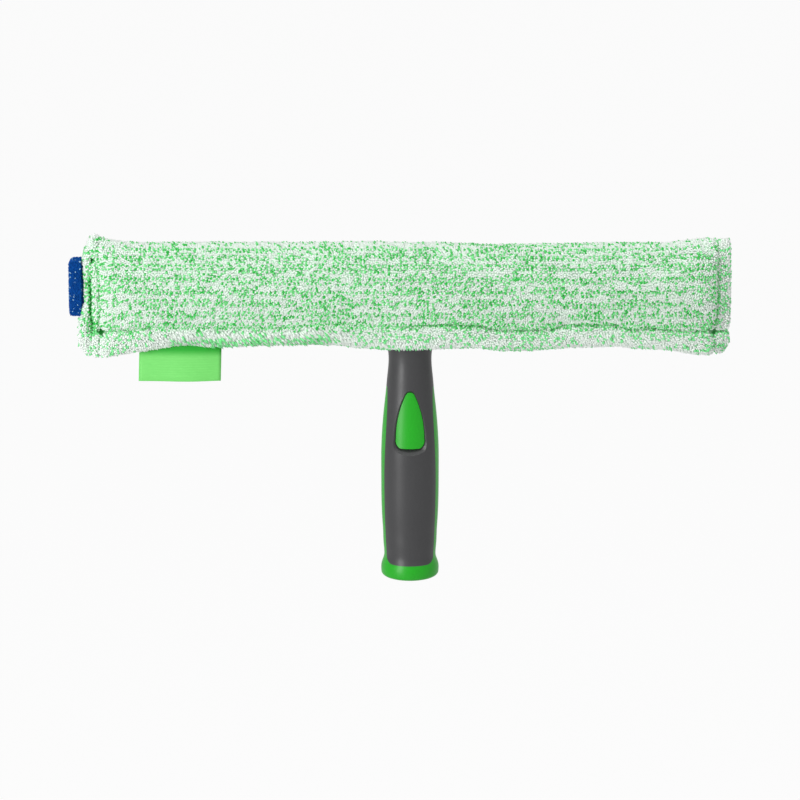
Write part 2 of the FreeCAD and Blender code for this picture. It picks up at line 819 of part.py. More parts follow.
def screw_shape(level):
    """A pan head screw with a cross recess, driven along -Y into the shank."""
    seat = s.screw_seat
    head = s.screw_head_height
    radius = s.screw_radius
    centre = FreeCAD.Vector(0, seat, level)
    body = Part.makeCylinder(radius, s.screw_length - radius, centre, -Y_AXIS)
    point = Part.makeCone(radius, 0, radius, FreeCAD.Vector(0, seat - s.screw_length + radius, level), -Y_AXIS)
    pan = Part.makeCylinder(s.screw_head_radius, head, centre, Y_AXIS)
    crown = [edge for edge in pan.Edges if edge.BoundBox.YMin > seat + head / 2]
    pan = pan.makeFillet(head / 2, crown)
    floor = seat + head - s.screw_recess_depth
    arms = []
    for across, up in (
        (s.screw_recess_length, s.screw_recess_width),
        (s.screw_recess_width, s.screw_recess_length),
    ):
        arms.append(Part.makeBox(across, head, up, FreeCAD.Vector(-across / 2, floor, level - up / 2)))
    return body.fuse([point, pan]).cut(arms[0].fuse(arms[1])).removeSplitter()


neck_screws = solid("neck_screws", Part.Compound([screw_shape(level) for level in s.screw_levels]))


def sleeve_section(x, crown, hem, wall, hem_wall):
    """Outline of the sleeve across the bar: a hem roll, the stitched crease, the bulging side and the crown."""
    half = s.sleeve_half * wall
    hem_half = (s.sleeve_half - s.hem_inset) * (wall * hem_wall)
    crease_half = (s.sleeve_half - s.crease_depth) * (wall * hem_wall)
    rounding = s.hem_rounding * wall
    top = s.sleeve_top + crown * s.ear_rise
    bottom = s.sleeve_bottom + hem * s.ear_drop
    crease = bottom + s.hem_height
    shoulder_half = SHOULDER_SHARES[0] * half
    shoulder = top - SHOULDER_SHARES[1] * half
    corner = CORNER_SHARE * rounding

    def place(y, z, side):
        return FreeCAD.Vector(x, side * y, z)

    flanks = {}
    for side in (1, -1):
        flanks[side] = [
            Part.Arc(
                place(hem_half - rounding, bottom, side),
                place(hem_half - corner, bottom + corner, side),
                place(hem_half, bottom + rounding, side),
            ),
            Part.LineSegment(place(hem_half, bottom + rounding, side), place(crease_half, crease, side)),
            Part.Arc(
                place(crease_half, crease, side),
                place(half, (crease + shoulder) / 2, side),
                place(shoulder_half, shoulder, side),
            ),
        ]
    over = Part.Arc(place(shoulder_half, shoulder, 1), place(0, top, 1), place(shoulder_half, shoulder, -1))
    under = Part.LineSegment(place(hem_half - rounding, bottom, -1), place(hem_half - rounding, bottom, 1))
    around = [under, *flanks[1], over, *flanks[-1][::-1]]
    return Part.Wire([edge.toShape() for edge in around])


def sleeve_shape():
    """The pile sleeve: a padded body, pinched at the end seams, with a flat flange beyond each."""
    sections = []
    for place, *shares in SLEEVE_SHARES:
        seam = s.left_seam if place < 0 else s.right_seam
        sections.append(sleeve_section(place * seam, *shares))
    body = Part.makeLoft(sections, True, False)
    flanges = []
    for seam, flange, end, flange_shares in (
        (-s.left_seam, -s.left_flange, sections[0], LEFT_FLANGE_SHARES),
        (s.right_seam, s.right_flange, sections[-1], RIGHT_FLANGE_SHARES),
    ):
        wires = [end]
        for place, *shares in flange_shares:
            wires.append(sleeve_section(seam + place * flange, *shares, 1))
        flanges.append(Part.makeLoft(wires if flange > 0 else wires[::-1], True, True))
    return body.fuse(flanges)


def slot_shape():
    """The room for the bar, open below, and the wider notch for the handle's neck."""
    left = s.slot_left
    half = s.slot_half
    floor = s.sleeve_bottom - s.ear_drop - s.overrun
    room = Part.makeBox(left + s.slot_right, 2 * half, s.slot_top - floor, FreeCAD.Vector(-left, -half, floor))
    bent = [edge for edge in room.Edges if runs_along(edge, Z_AXIS) or edge.BoundBox.ZMin > s.bar_top]
    room = room.makeFillet(s.bar_rounding + s.sleeve_gap, bent)
    width = s.waist_radius * TOP_SHARES[1] + s.neck_gap
    depth = s.waist_radius * (TOP_SHARES[1] * TOP_SHARES[2]) + s.neck_gap
    height = s.handle_length + s.neck_gap - floor
    notch = Part.makeBox(2 * width, 2 * depth, height, FreeCAD.Vector(-width, -depth, floor))
    notch = notch.makeFillet(depth / 2, [edge for edge in notch.Edges if runs_along(edge, Z_AXIS)])
    return room.fuse(notch)


def pad_shape():
    """The scrub pad: a rounded strip that stands out of the left seam, with a tongue sewn into it."""
    seam = s.left_seam + s.left_flange
    reach = s.pad_reach
    half = s.pad_half_thickness
    foot = s.pad_top - s.pad_height
    block = Part.makeBox(reach, 2 * half, s.pad_height, FreeCAD.Vector(-seam - reach, -half, foot))
    outer = [edge for edge in block.Edges if edge.BoundBox.XMax < -seam - reach / 2]
    block = block.makeFillet(s.pad_rounding, outer)
    tongue_half = s.pad_tongue_half_thickness
    corner = FreeCAD.Vector(-seam - reach / 2, -tongue_half, foot + s.pad_rounding)
    length = s.pad_tongue + reach / 2
    tongue = Part.makeBox(length, 2 * tongue_half, s.pad_height - 2 * s.pad_rounding, corner)
    return block.fuse(tongue).removeSplitter()


def tag_shape():
    """The ribbon tag: a thin bowed sheet, its upper edge sewn into the middle of the front hem."""
    half = s.tag_width / 2
    depth = s.slot_half + (s.sleeve_wall - s.hem_inset) / 2
    bottom = s.sleeve_bottom - s.tag_hang

    def arc(back):
        ends = back - depth + s.tag_bow / 2
        return Part.Arc(
            FreeCAD.Vector(-s.tag_offset - half, ends, bottom),
            FreeCAD.Vector(-s.tag_offset, ends - s.tag_bow, bottom),
            FreeCAD.Vector(-s.tag_offset + half, ends, bottom),
        ).toShape()

    front = arc(0 * s.tag_thickness)
    back = arc(s.tag_thickness)
    sides = [Part.LineSegment(front.Vertexes[end].Point, back.Vertexes[end].Point).toShape() for end in range(2)]
    outline = Part.Wire(Part.__sortEdges__([front, back, *sides]))
    return Part.Face(outline).extrude(FreeCAD.Vector(0, 0, s.tag_hang + s.tag_sewn))


scrub_pad = solid("scrub_pad", pad_shape())
sewn_tag = solid("sewn_tag", tag_shape())
sleeve_blank = solid("sleeve_blank", sleeve_shape())
sleeve_slot = solid("sleeve_slot", slot_shape())
sleeve_cover = cut("sleeve_cover", sleeve_blank, sleeve_slot, scrub_pad, sewn_tag, *loop_tapes)

SUB_PARTS = [
    handle_core,
    soft_grip,
    release_button,
    latch_plate,
    latch_spring,
    t_bar,
    end_cap_left,
    end_cap_right,
    *hook_strips,
    neck_screws,
    sleeve_cover,
    *loop_tapes,
    scrub_pad,
    sewn_tag,
]

doc.recompute()
for made in doc.Objects:
    if "Invalid" in made.State or "Error" in made.State:
        raise RuntimeError(f"{made.Label} failed: {made.State}")
for made in SUB_PARTS:
    if made.Shape.isNull() or not made.Shape.isValid() or not made.Shape.Solids:
        raise RuntimeError(f"{made.Label} has no valid solid")
os.makedirs("parts", exist_ok=True)
for made in SUB_PARTS:
    box = made.Shape.optimalBoundingBox()
    spans = ", ".join(
        f"{low:.1f}..{high:.1f}" for low, high in ((box.XMin, box.XMax), (box.YMin, box.YMax), (box.ZMin, box.ZMax))
    )
    print(f"{made.Label}: {len(made.Shape.Solids)} solid(s), {made.Shape.Volume / 1000:.2f} cm3, {spans}")
    made.Shape.exportStep(f"parts/{made.Label}.step")
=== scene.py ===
"""A T-bar window washer: two-colour handle, release button, pile sleeve, scrub pad and ribbon tag.

Metres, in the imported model's frame: +Z runs up the handle, X along the bar, and the button looks along -Y.
"""

import math

import bmesh
import bpy
import numpy as np
from mathutils import Matrix, Vector


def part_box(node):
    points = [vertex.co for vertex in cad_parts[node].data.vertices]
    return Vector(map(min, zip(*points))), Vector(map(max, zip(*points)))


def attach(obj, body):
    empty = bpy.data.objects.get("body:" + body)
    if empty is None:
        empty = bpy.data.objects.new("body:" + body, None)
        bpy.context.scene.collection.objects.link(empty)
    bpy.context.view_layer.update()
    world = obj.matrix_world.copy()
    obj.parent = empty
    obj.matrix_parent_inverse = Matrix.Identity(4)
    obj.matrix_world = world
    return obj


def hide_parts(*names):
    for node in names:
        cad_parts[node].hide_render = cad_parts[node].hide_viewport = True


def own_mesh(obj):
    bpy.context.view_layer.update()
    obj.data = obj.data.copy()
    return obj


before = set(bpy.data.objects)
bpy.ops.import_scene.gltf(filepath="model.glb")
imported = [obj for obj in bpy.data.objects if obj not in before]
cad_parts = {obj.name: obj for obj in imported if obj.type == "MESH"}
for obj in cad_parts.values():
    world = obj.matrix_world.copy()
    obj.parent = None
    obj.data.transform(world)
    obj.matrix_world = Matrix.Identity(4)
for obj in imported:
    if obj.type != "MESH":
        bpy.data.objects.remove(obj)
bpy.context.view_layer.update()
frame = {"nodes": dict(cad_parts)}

# Camera. The photograph looks at the button's side from a little above, through a long lens; the handle's
# axis stands a little right of the middle.
PHOTO_WIDTH = 0.4314
SENSOR_WIDTH = 36
CAMERA_DISTANCE = 2.6
CAMERA_ELEVATION = math.radians(15)
CAMERA_TARGET = Vector((-0.0054, 0, 0.0978))
camera = bpy.data.objects.new("camera", bpy.data.cameras.new("camera"))
bpy.context.scene.collection.objects.link(camera)
bpy.context.scene.camera = camera
camera.data.sensor_width = SENSOR_WIDTH
camera.data.lens = SENSOR_WIDTH * CAMERA_DISTANCE / PHOTO_WIDTH
toward_camera = Vector((0, -math.cos(CAMERA_ELEVATION), math.sin(CAMERA_ELEVATION)))
camera.location = CAMERA_TARGET + toward_camera * CAMERA_DISTANCE
camera.rotation_euler = toward_camera.to_track_quat("Z", "Y").to_euler()
bpy.context.scene.view_settings.view_transform = "Standard"


# Studio. A pale floor well below the handle's end, which shows white to the camera and still takes a shadow,
# under a pale sky; a tall lamp at the front left, and a weaker broad one from above on the right.
class Wire:
    """An output in a node tree; a sum on wires and numbers adds its own Math nodes."""

    def __init__(self, tree, socket):
        self.tree = tree
        self.socket = socket

    def output(self, name):
        """Another output of the same node."""
        return Wire(self.tree, self.socket.node.outputs[name])

    def __add__(self, other):
        return self.tree.maths("ADD", self, other)

    def __mul__(self, other):
        return self.tree.maths("MULTIPLY", self, other)

    def __truediv__(self, other):
        return self.tree.maths("DIVIDE", self, other)

    def __rtruediv__(self, other):
        return self.tree.maths("DIVIDE", other, self)

    def __lt__(self, other):
        return self.tree.maths("LESS_THAN", self, other)

    def __gt__(self, other):
        return self.tree.maths("GREATER_THAN", self, other)

    __radd__ = __add__


class Tree:
    """A node tree that grows by one method."""

    def __init__(self, nodes):
        self.nodes = nodes

    def node(self, kind, settings=None, *inputs, **named):
        """Adds a node with these settings and values or wires in its sockets. Gives its first output."""
        made = self.nodes.nodes.new(kind)
        for name, value in (settings or {}).items():
            setattr(made, name, value)
        sockets = [socket for socket in made.inputs if socket.enabled]
        for key, value in [*enumerate(inputs), *named.items()]:
            if isinstance(key, str):
                socket = next(one for one in sockets if one.name == key.replace("_", " "))
            else:
                socket = sockets[key]
            if isinstance(value, Wire):
                self.nodes.links.new(value.socket, socket)
            else:
                socket.default_value = value
        outputs = [socket for socket in made.outputs if socket.enabled]
        return Wire(self, outputs[0]) if outputs else None

    def maths(self, operation, *values):
        """A Math node."""
        return self.node("ShaderNodeMath", {"operation": operation}, *values)


def rgba(colour):
    """A colour as a socket takes it; a wire stays a wire."""
    return colour if isinstance(colour, Wire) else (*colour, 1)


class Finish(Tree):
    """A material: the shader's own sockets take its constants, and its nodes what changes over a surface."""

    def __init__(self, name):
        self.material = bpy.data.materials.new(name)
        self.material.use_nodes = True
        super().__init__(self.material.node_tree)
        self.nodes.nodes.clear()
        self.place = self.node("ShaderNodeTexCoord").output("Object")

    def along(self, axis):
        """The place along one axis."""
        return self.node("ShaderNodeSeparateXYZ", None, self.place).output(axis)

    def noise(self, size, detail, stretch=None, roughness=0.5):
        """A noise whose lumps measure about this many metres, or as many times that along each axis."""
        place = self.place
        if stretch:
            place = self.node("ShaderNodeMapping", None, place, Scale=[1 / one for one in stretch])
        return self.node(
            "ShaderNodeTexNoise", None, Vector=place, Scale=1 / size, Detail=detail, Roughness=roughness
        )

    def cells(self, size):
        """The distance from the middles of cells that measure about this many metres."""
        return self.node("ShaderNodeTexVoronoi", None, Vector=self.place, Scale=1 / size)

    def smoothstep(self, value, start, end, low=0.0, high=1.0):
        """Goes smoothly from the low number at the start to the high one at the end."""
        return self.node(
            "ShaderNodeMapRange", {"interpolation_type": "SMOOTHSTEP"}, value, start, end, low, high
        )

    def mix(self, factor, first, second):
        """Two colours mixed by a wire."""
        return self.node("ShaderNodeMix", {"data_type": "RGBA"}, factor, rgba(first), rgba(second))

    def bump(self, height, depth):
        """Bumps of this depth in metres where the height goes from 0 to 1."""
        return self.node("ShaderNodeBump", None, Strength=1.0, Distance=depth, Height=height)

    def plain(self, **sockets):
        """Ends the material in one shader."""
        shader = self.node("ShaderNodeBsdfPrincipled", None, **sockets)
        self.node("ShaderNodeOutputMaterial", None, shader)
        return self.material


def dress(piece, material):
    """Gives a piece one material."""
    piece.data.materials.clear()
    piece.data.materials.append(material)


FLOOR_DROP = 0.35
FLOOR_REACH = 14.0
FLOOR_WHITENESS = 0.93
FLOOR_SHEEN = 0.45
FLOOR_GREY = (0.82, 0.82, 0.82)
WHITE = (1, 1, 1)
floor_mesh = bpy.data.meshes.new("studio_floor")
floor_corners = [
    (x * FLOOR_REACH, y * FLOOR_REACH, -FLOOR_DROP) for x, y in ((-1, -1), (1, -1), (1, 1), (-1, 1))
]
floor_mesh.from_pydata(floor_corners, [], [(0, 1, 2, 3)])
floor = bpy.data.objects.new("studio_floor", floor_mesh)
bpy.context.scene.collection.objects.link(floor)
paper = Finish("pale_paper")
paper_white = paper.node("ShaderNodeEmission", None, Color=rgba(WHITE), Strength=1.0)
paper_matt = paper.node("ShaderNodeBsdfDiffuse", None, Color=rgba(FLOOR_GREY))
floor_rays = paper.node("ShaderNodeLightPath")
seen_white = paper.maths(
    "MAXIMUM", floor_rays * FLOOR_WHITENESS, floor_rays.output("Is Glossy Ray") * FLOOR_SHEEN
)
paper_mixed = paper.node("ShaderNodeMixShader", None, seen_white, paper_matt, paper_white)
paper.node("ShaderNodeOutputMaterial", None, paper_mixed)
dress(floor, paper.material)

SKY_STRENGTH = 0.53
SKY_SHEEN = 0.72
sky = bpy.data.worlds.new("studio_sky")
sky.use_nodes = True
bpy.context.scene.world = sky
sky.node_tree.nodes.clear()
dome = Tree(sky.node_tree)
sky_rays = dome.node("ShaderNodeLightPath")
glossy_rays = sky_rays.output("Is Glossy Ray")
glow = dome.node("ShaderNodeMix", {"data_type": "FLOAT"}, glossy_rays, SKY_STRENGTH, SKY_SHEEN)
glow = dome.node("ShaderNodeMix", {"data_type": "FLOAT"}, sky_rays, glow, 1.0)
backdrop = dome.node("ShaderNodeBackground", None, Color=rgba(WHITE), Strength=glow)
dome.node("ShaderNodeOutputWorld", None, backdrop)


def lamp(name, turn, rise, distance, width, height, power):
    """A flat lamp that looks at the object, so many degrees left of the front and up."""
    turn, rise = math.radians(turn), math.radians(rise)
    way = Vector((-math.sin(turn) * math.cos(rise), -math.cos(turn) * math.cos(rise), math.sin(rise)))
    made = bpy.data.objects.new(name, bpy.data.lights.new(name, "AREA"))
    made.data.shape = "RECTANGLE"
    made.data.size = width
    made.data.size_y = height
    made.data.energy = power
    made.location = CAMERA_TARGET + way * distance
    made.rotation_euler = way.to_track_quat("Z", "Y").to_euler()
    bpy.context.scene.collection.objects.link(made)


lamp("key_lamp", turn=41, rise=14, distance=1.8, width=0.42, height=1.7, power=21)
lamp("top_lamp", turn=-30, rise=60, distance=1.6, width=1.0, height=1.0, power=7)

# Handle core. One moulding of hard green plastic with a light satin finish; it shows as the two side bands
# and the flared collar round the socket, and it holds the pole, the latch and the bar's shank.
GREEN_PLASTIC = {
    "tones": ((0.004, 0.39, 0.003), (0.003, 0.32, 0.002)),
    "cloud": (0.02, 3),
    "roughness": 0.30,
    "spread": 0.12,
    "relief": 0.00003,
    "IOR": 1.48,
}


def grained(name, tones, cloud, roughness, spread=0.0, grain=None, relief=0.0, **constants):
    """A material with clouds in its tone and roughness, and a relief that follows its grain or its clouds.

    The cloud and the grain say what a noise takes: its size and detail, and its stretch if it has one.
    """
    made = Finish(name)
    clouds = made.noise(*cloud)
    if relief:
        constants["Normal"] = made.bump(made.noise(*grain) if grain else clouds, relief)
    if spread:
        roughness = roughness + clouds * spread
    return made.plain(Base_Color=made.mix(clouds, *tones), Roughness=roughness, **constants)


nodes = frame["nodes"]
dress(nodes["handle_core"], grained("green_core_plastic", grain=(0.0006, 2), **GREEN_PLASTIC))

# Soft grip. Dark grey thermoplastic rubber moulded over the core in two panels that meet in a collar at the
# neck; it is matt, with a fine even grain and a roughness that changes a little in clouds.
grey_soft_grip = grained(
    "grey_soft_grip",
    tones=((0.032, 0.032, 0.034), (0.042, 0.042, 0.044)),
    cloud=(0.025, 3),
    roughness=0.43,
    spread=-0.12,
    grain=(0.0005, 2),
    relief=0.00004,
    IOR=1.5,
)
dress(nodes["soft_grip"], grey_soft_grip)

# Release button. The same green plastic as the core, a little smoother, on an acetal latch plate that slides
# through the handle against a steel spring.
MERGE_DISTANCE = 1e-6
dress(nodes["release_button"], grained("green_button_plastic", grain=(0.0004, 2), **GREEN_PLASTIC))
natural_acetal = grained(
    "natural_acetal",
    tones=((0.62, 0.62, 0.60), (0.52, 0.52, 0.50)),
    cloud=(0.004, 2, (4, 1, 1)),
    roughness=0.36,
    spread=0.1,
    relief=0.00002,
)
dress(nodes["latch_plate"], natural_acetal)


def merged_copy(node, name):
    """A copy of a CAD node's mesh with its corners joined, as a piece of its own."""
    made = bpy.data.objects.new(name, nodes[node].data.copy())
    bpy.context.scene.collection.objects.link(made)
    shape = bmesh.new()
    shape.from_mesh(made.data)
    bmesh.ops.remove_doubles(shape, verts=shape.verts, dist=MERGE_DISTANCE)
    shape.to_mesh(made.data)
    shape.free()
    return made


def smooth(piece):
    """Shades all faces of a piece smoothly."""
    piece.data.polygons.foreach_set("use_smooth", [True] * len(piece.data.polygons))


spring_steel = grained(
    "spring_steel",
    tones=((0.56, 0.57, 0.58), (0.42, 0.43, 0.45)),
    cloud=(0.0008, 2),
    roughness=0.26,
    spread=0.14,
    Metallic=1.0,
)
latch_coil = merged_copy("latch_spring", "latch_coil")
smooth(latch_coil)
dress(latch_coil, spring_steel)
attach(latch_coil, "handle")
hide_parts("latch_spring")
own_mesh(latch_coil)

# Neck screws. Two zinc-plated pan head screws with a cross recess, driven from the back through the neck
# into the bar's shank.
zinc_plate = grained(
    "zinc_plate",
    tones=((0.60, 0.61, 0.63), (0.45, 0.46, 0.48)),
    cloud=(0.0015, 3),
    roughness=0.30,
    spread=0.18,
    relief=0.00002,
    Metallic=1.0,
)
dress(nodes["neck_screws"], zinc_plate)

# T-bar and its bumpers. A dark grey moulding with windows that let water reach the sleeve, and a rubber
# bumper pressed into each end.
bar_plastic = grained(
    "bar_plastic",
    tones=((0.036, 0.037, 0.040), (0.050, 0.051, 0.054)),
    cloud=(0.012, 3, (3, 1, 1)),
    roughness=0.42,
    spread=0.14,
    grain=(0.0007, 2),
    relief=0.00005,
)
dress(nodes["t_bar"], bar_plastic)
bumper_rubber = grained(
    "bumper_rubber",
    tones=((0.022, 0.022, 0.024), (0.035, 0.035, 0.036)),
    cloud=(0.006, 3),
    roughness=0.72,
    spread=-0.14,
    relief=0.00005,
)
for node in ("end_cap_left", "end_cap_right"):
    dress(nodes[node], bumper_rubber)

# Hook strips. Moulded hook tape glued into the bar's recesses: a thin backing with rows of small hooks.
HOOK_PITCH = 0.0017
HOOK_MARGIN = 0.0008
HOOK_WIRE = 0.00022
HOOK_TIP_SHARE = 0.8
HOOK_SIDES = 5
HOOK_STALK = (-0.3, 0.25, 0.6)
HOOK_BEND_SHARE = 0.4
HOOK_TURNS = (40, 85, 130, 180)
BACKING_SHARE = 0.42
BACKING_CORNER = 0.0019


def new_piece(name, points, faces):
    """A mesh piece from points and faces."""
    mesh = bpy.data.meshes.new(name)
    mesh.from_pydata([tuple(point) for point in points], [], faces)
    mesh.validate()
    made = bpy.data.objects.new(name, mesh)
    bpy.context.scene.collection.objects.link(made)
    return made


def tube(points, radii, sides, across):
    """Points and faces of a closed tube along a path in a plane square to `across`."""
    rings = []
    for number, point in enumerate(points):
        ahead = points[min(number + 1, len(points) - 1)] - points[max(number - 1, 0)]
        out = ahead.normalized().cross(across)
        for side in range(sides):
            turn = math.tau * side / sides
            rings.append(point + (out * math.cos(turn) + across * math.sin(turn)) * radii[number])
    faces = []
    for ring in range(len(points) - 1):
        for side in range(sides):
            low, high = ring * sides + side, ring * sides + (side + 1) % sides
            faces.append((low, high, high + sides, low + sides))
    faces.append(tuple(range(sides))[::-1])
    faces.append(tuple(range((len(points) - 1) * sides, len(points) * sides)))
    return rings, faces


def modified(name, source, tree, values):
    """A mesh piece that a Geometry Nodes tree makes from a source piece."""
    modifier = source.modifiers.new(name, "NODES")
    modifier.node_group = tree
    for item in tree.interface.items_tree:
        if item.in_out == "INPUT" and item.name in values:
            modifier[item.identifier] = values[item.name]
    bpy.context.view_layer.update()
    evaluated = source.evaluated_get(bpy.context.evaluated_depsgraph_get())
    mesh = bpy.data.meshes.new_from_object(evaluated)
    mesh.name = name
    source.modifiers.remove(modifier)
    made = bpy.data.objects.new(name, mesh)
    bpy.context.scene.collection.objects.link(made)
    return made


def geometry_tree(name, inputs):
    """A Geometry Nodes tree with these named inputs, and the wires of those inputs."""
    group = bpy.data.node_groups.new(name, "GeometryNodeTree")
    group.interface.new_socket("Geometry", in_out="INPUT", socket_type="NodeSocketGeometry")
    for input_name, kind in inputs.items():
        group.interface.new_socket(input_name, in_out="INPUT", socket_type="NodeSocket" + kind)
    group.interface.new_socket("Geometry", in_out="OUTPUT", socket_type="NodeSocketGeometry")
    tree = Tree(group)
    source = tree.node("NodeGroupInput")
    return tree, {socket.name: Wire(tree, socket) for socket in source.socket.node.outputs if socket.name}


def hook_tree():
    """Hooks on a grid over a strip: rows of instances of one hook."""
    tree, given = geometry_tree(
        "hooks_on_grid",
        {"Hook": "Object", "Length": "Float", "Height": "Float", "Pitch": "Float", "Finish": "Material"},
    )
    columns = tree.maths("FLOOR", given["Length"] / given["Pitch"]) + 1.0
    rows = tree.maths("FLOOR", given["Height"] / given["Pitch"]) + 1.0
    grid = tree.node("GeometryNodeMeshGrid", None, given["Length"], given["Height"], columns, rows)
    hook = tree.node("GeometryNodeObjectInfo", None, Object=given["Hook"]).output("Geometry")
    odd = tree.maths("MODULO", tree.node("GeometryNodeInputIndex"), 2.0)
    turn = tree.node("ShaderNodeCombineXYZ", None, 0.0, 0.0, odd * math.pi)
    placed = tree.node("GeometryNodeInstanceOnPoints", None, Points=grid, Instance=hook, Rotation=turn)
    real = tree.node("GeometryNodeRealizeInstances", None, placed)
    joined = tree.node("GeometryNodeJoinGeometry", None, given["Geometry"])
    tree.nodes.links.new(real.socket, joined.socket.node.inputs[0])
    done = tree.node("GeometryNodeSetMaterial", None, Geometry=joined, Material=given["Finish"])
    tree.node("NodeGroupOutput", None, done)
    return tree.nodes


strip_low, strip_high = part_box("hook_strip_front_right")
strip_size = strip_high - strip_low
backing_depth = strip_size.y * BACKING_SHARE
hook_height = strip_size.y - backing_depth - HOOK_WIRE
hook_bend = hook_height * HOOK_BEND_SHARE
hook_path = [Vector((0, 0, hook_height * rise)) for rise in HOOK_STALK]
for turn in HOOK_TURNS:
    angle = math.radians(turn)
    hook_path.append(
        Vector((hook_bend * (1 - math.cos(angle)), 0, hook_height - hook_bend + hook_bend * math.sin(angle)))
    )
hook_radii = [HOOK_WIRE] * (len(hook_path) - 2) + [HOOK_WIRE * HOOK_TIP_SHARE] * 2
hook_shape = new_piece("hook_shape", *tube(hook_path, hook_radii, HOOK_SIDES, Vector((0, 1, 0))))
hooks = hook_tree()
hook_nylon = grained(
    "hook_nylon",
    tones=((0.028, 0.029, 0.032), (0.045, 0.046, 0.05)),
    cloud=(0.01, 2),
    roughness=0.40,
    spread=0.12,
)
for face, side_sign in (("front", -1), ("back", 1)):
    for side in ("left", "right"):
        node = f"hook_strip_{face}_{side}"
        low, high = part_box(node)
        middle = (low + high) / 2
        backing = new_piece("backing", [], [])
        shape = bmesh.new()
        bmesh.ops.create_cube(shape, size=1.0)
        shape.transform(Matrix.Diagonal((strip_size.x, strip_size.z, backing_depth, 1)))
        corners = [
            edge for edge in shape.edges if abs(edge.verts[0].co.z - edge.verts[1].co.z) > backing_depth / 2
        ]
        bmesh.ops.bevel(
            shape, geom=corners, offset=BACKING_CORNER, segments=5, affect="EDGES", profile=0.5
        )
        shape.transform(Matrix.Translation((0, 0, -backing_depth / 2)))
        shape.to_mesh(backing.data)
        shape.free()
        tape = modified(
            node.replace("strip", "tape"),
            backing,
            hooks,
            {
                "Hook": hook_shape,
                "Length": strip_size.x - 2 * HOOK_MARGIN,
                "Height": strip_size.z - 2 * HOOK_MARGIN,
                "Pitch": HOOK_PITCH,
                "Finish": hook_nylon,
            },
        )
        foot = low.y + backing_depth if side_sign > 0 else high.y - backing_depth
        turned = Matrix.Rotation(-side_sign * math.pi / 2, 4, "X")
        tape.data.transform(Matrix.Translation((middle.x, foot, middle.z)) @ turned)
        bpy.data.objects.remove(backing)
        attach(tape, "handle")
        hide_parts(node)
bpy.data.objects.remove(hook_shape)

# Loop tapes. Brushed white nylon loops sewn inside the sleeve's hems, where they meet the hook strips.
LOOP_TONES = ((0.62, 0.66, 0.63), (0.80, 0.83, 0.80))
loops = Finish("brushed_loops")
fuzz = loops.noise(0.0006, 4, roughness=0.7)
curls = loops.cells(0.0009)
brushed_loops = loops.plain(
    Base_Color=loops.mix(fuzz, *LOOP_TONES),
    Roughness=0.9,
    Normal=loops.bump(curls + fuzz, 0.0003),
    Sheen_Weight=0.3,
)
for face in ("front", "back"):
    for side in ("left", "right"):
        node = f"loop_tape_{face}_{side}"
        dress(nodes[node], brushed_loops)

# Sleeve backing. The knitted ground that carries the pile, sewn from one folded panel: padded between the
# stitched crease of each hem and the seam across each end, and open below, where it slips over the bar.
# A pair that ends in _RAMP is a start and a reach, and a table gives a value at places along the sleeve.
PILE_DEPTH = 0.0012
GROUND_VOXEL = 0.0024
LEFT_SEAM = -0.168
RIGHT_SEAM = 0.167
STITCH_REACH = 0.0018
FINE_ENDS = (-0.163, 0.162)
END_DRAW = ((LEFT_SEAM, -1, 0.25, -0.38), (RIGHT_SEAM, 1, 0.38, 0.0))
LOW_END_RAMP = (0.153, -0.018)
SLEEVE_ROOM = ((-0.1653, 0.1643), 0.0080, 0.1785, 0.0060)
NECK_NOTCH = ((-0.0138, 0.0138), 0.0116, 0.1340, 0.0001)
LINING_RAMP = (0.0005, 0.0010)
CREASE_LEVEL = 0.1384
CREASE_WIDTH = 0.0012
CREASE_DEPTH = 0.0019
HEM_DROP = 0.005
HEM_HEIGHT = 0.0094
SIDE_REACH = 0.020
HEM_SHARES = (
    (-0.168, -1.0), (-0.159, -0.96), (-0.150, -0.50), (-0.138, 0.28), (-0.095, 0.34), (-0.045, 0.28),
    (-0.016, 0.0), (0.016, 0.0), (0.050, -0.10), (0.082, 0.28), (0.120, 0.06), (0.142, -0.26),
    (0.156, -0.72), (0.167, -0.80),
)
CREASE_SHARES = (
    (-0.168, -0.30), (-0.160, 0.10), (-0.150, 0.26), (-0.138, 0.50), (-0.062, 0.50), (-0.052, 0.96),
    (-0.028, 0.96), (-0.008, 0.72), (0.006, 0.74), (0.018, 0.88), (0.038, 0.74), (0.046, 0.22),
    (0.075, 0.18), (0.083, 0.80), (0.108, 0.82), (0.119, 0.20), (0.129, 0.44), (0.136, 0.24),
    (0.152, 0.04), (0.160, 0.10), (0.167, -0.20),
)
CREASE_FIRMNESS = ((-0.146, 0.9), (-0.128, 0.4), (-0.012, 0.35), (0.006, 1.0))
TOP_RAMP = (0.176, 0.008)
TOP_TRIM = (
    (-0.176, -0.0046), (-0.171, -0.0020), (-0.167, 0.0003), (-0.1635, -0.0014), (-0.160, -0.0014),
    (-0.150, -0.0005), (-0.020, -0.0003), (0.000, -0.0007), (0.174, -0.0008),
)
BOTTOM_RAMP = (0.137, -0.006)
BOTTOM_TRIM = (
    (-0.176, -0.0014), (-0.1735, -0.0016), (-0.168, -0.0012), (-0.160, 0.0), (-0.148, -0.0008),
    (-0.140, -0.0026), (-0.134, -0.0040), (-0.124, -0.0046), (-0.113, -0.0040), (-0.102, -0.0022),
    (-0.088, 0.0), (-0.065, 0.0002), (-0.015, -0.0006), (0.015, -0.0004), (0.034, 0.0006),
    (0.052, -0.0010), (0.078, -0.0020), (0.096, -0.0016), (0.115, 0.0), (0.130, -0.0004),
    (0.160, -0.0008), (0.165, -0.0010), (0.170, -0.0010),
)
OUTER_FURROW = -0.1708
OUTER_WIDTH = 0.0018
OUTER_DEPTH = 0.0022
OUTER_ENDS = (0.131, 0.173)
OUTER_FADE = 0.008
OUTER_LEAST = 0.1
INNER_FURROW = -0.1660
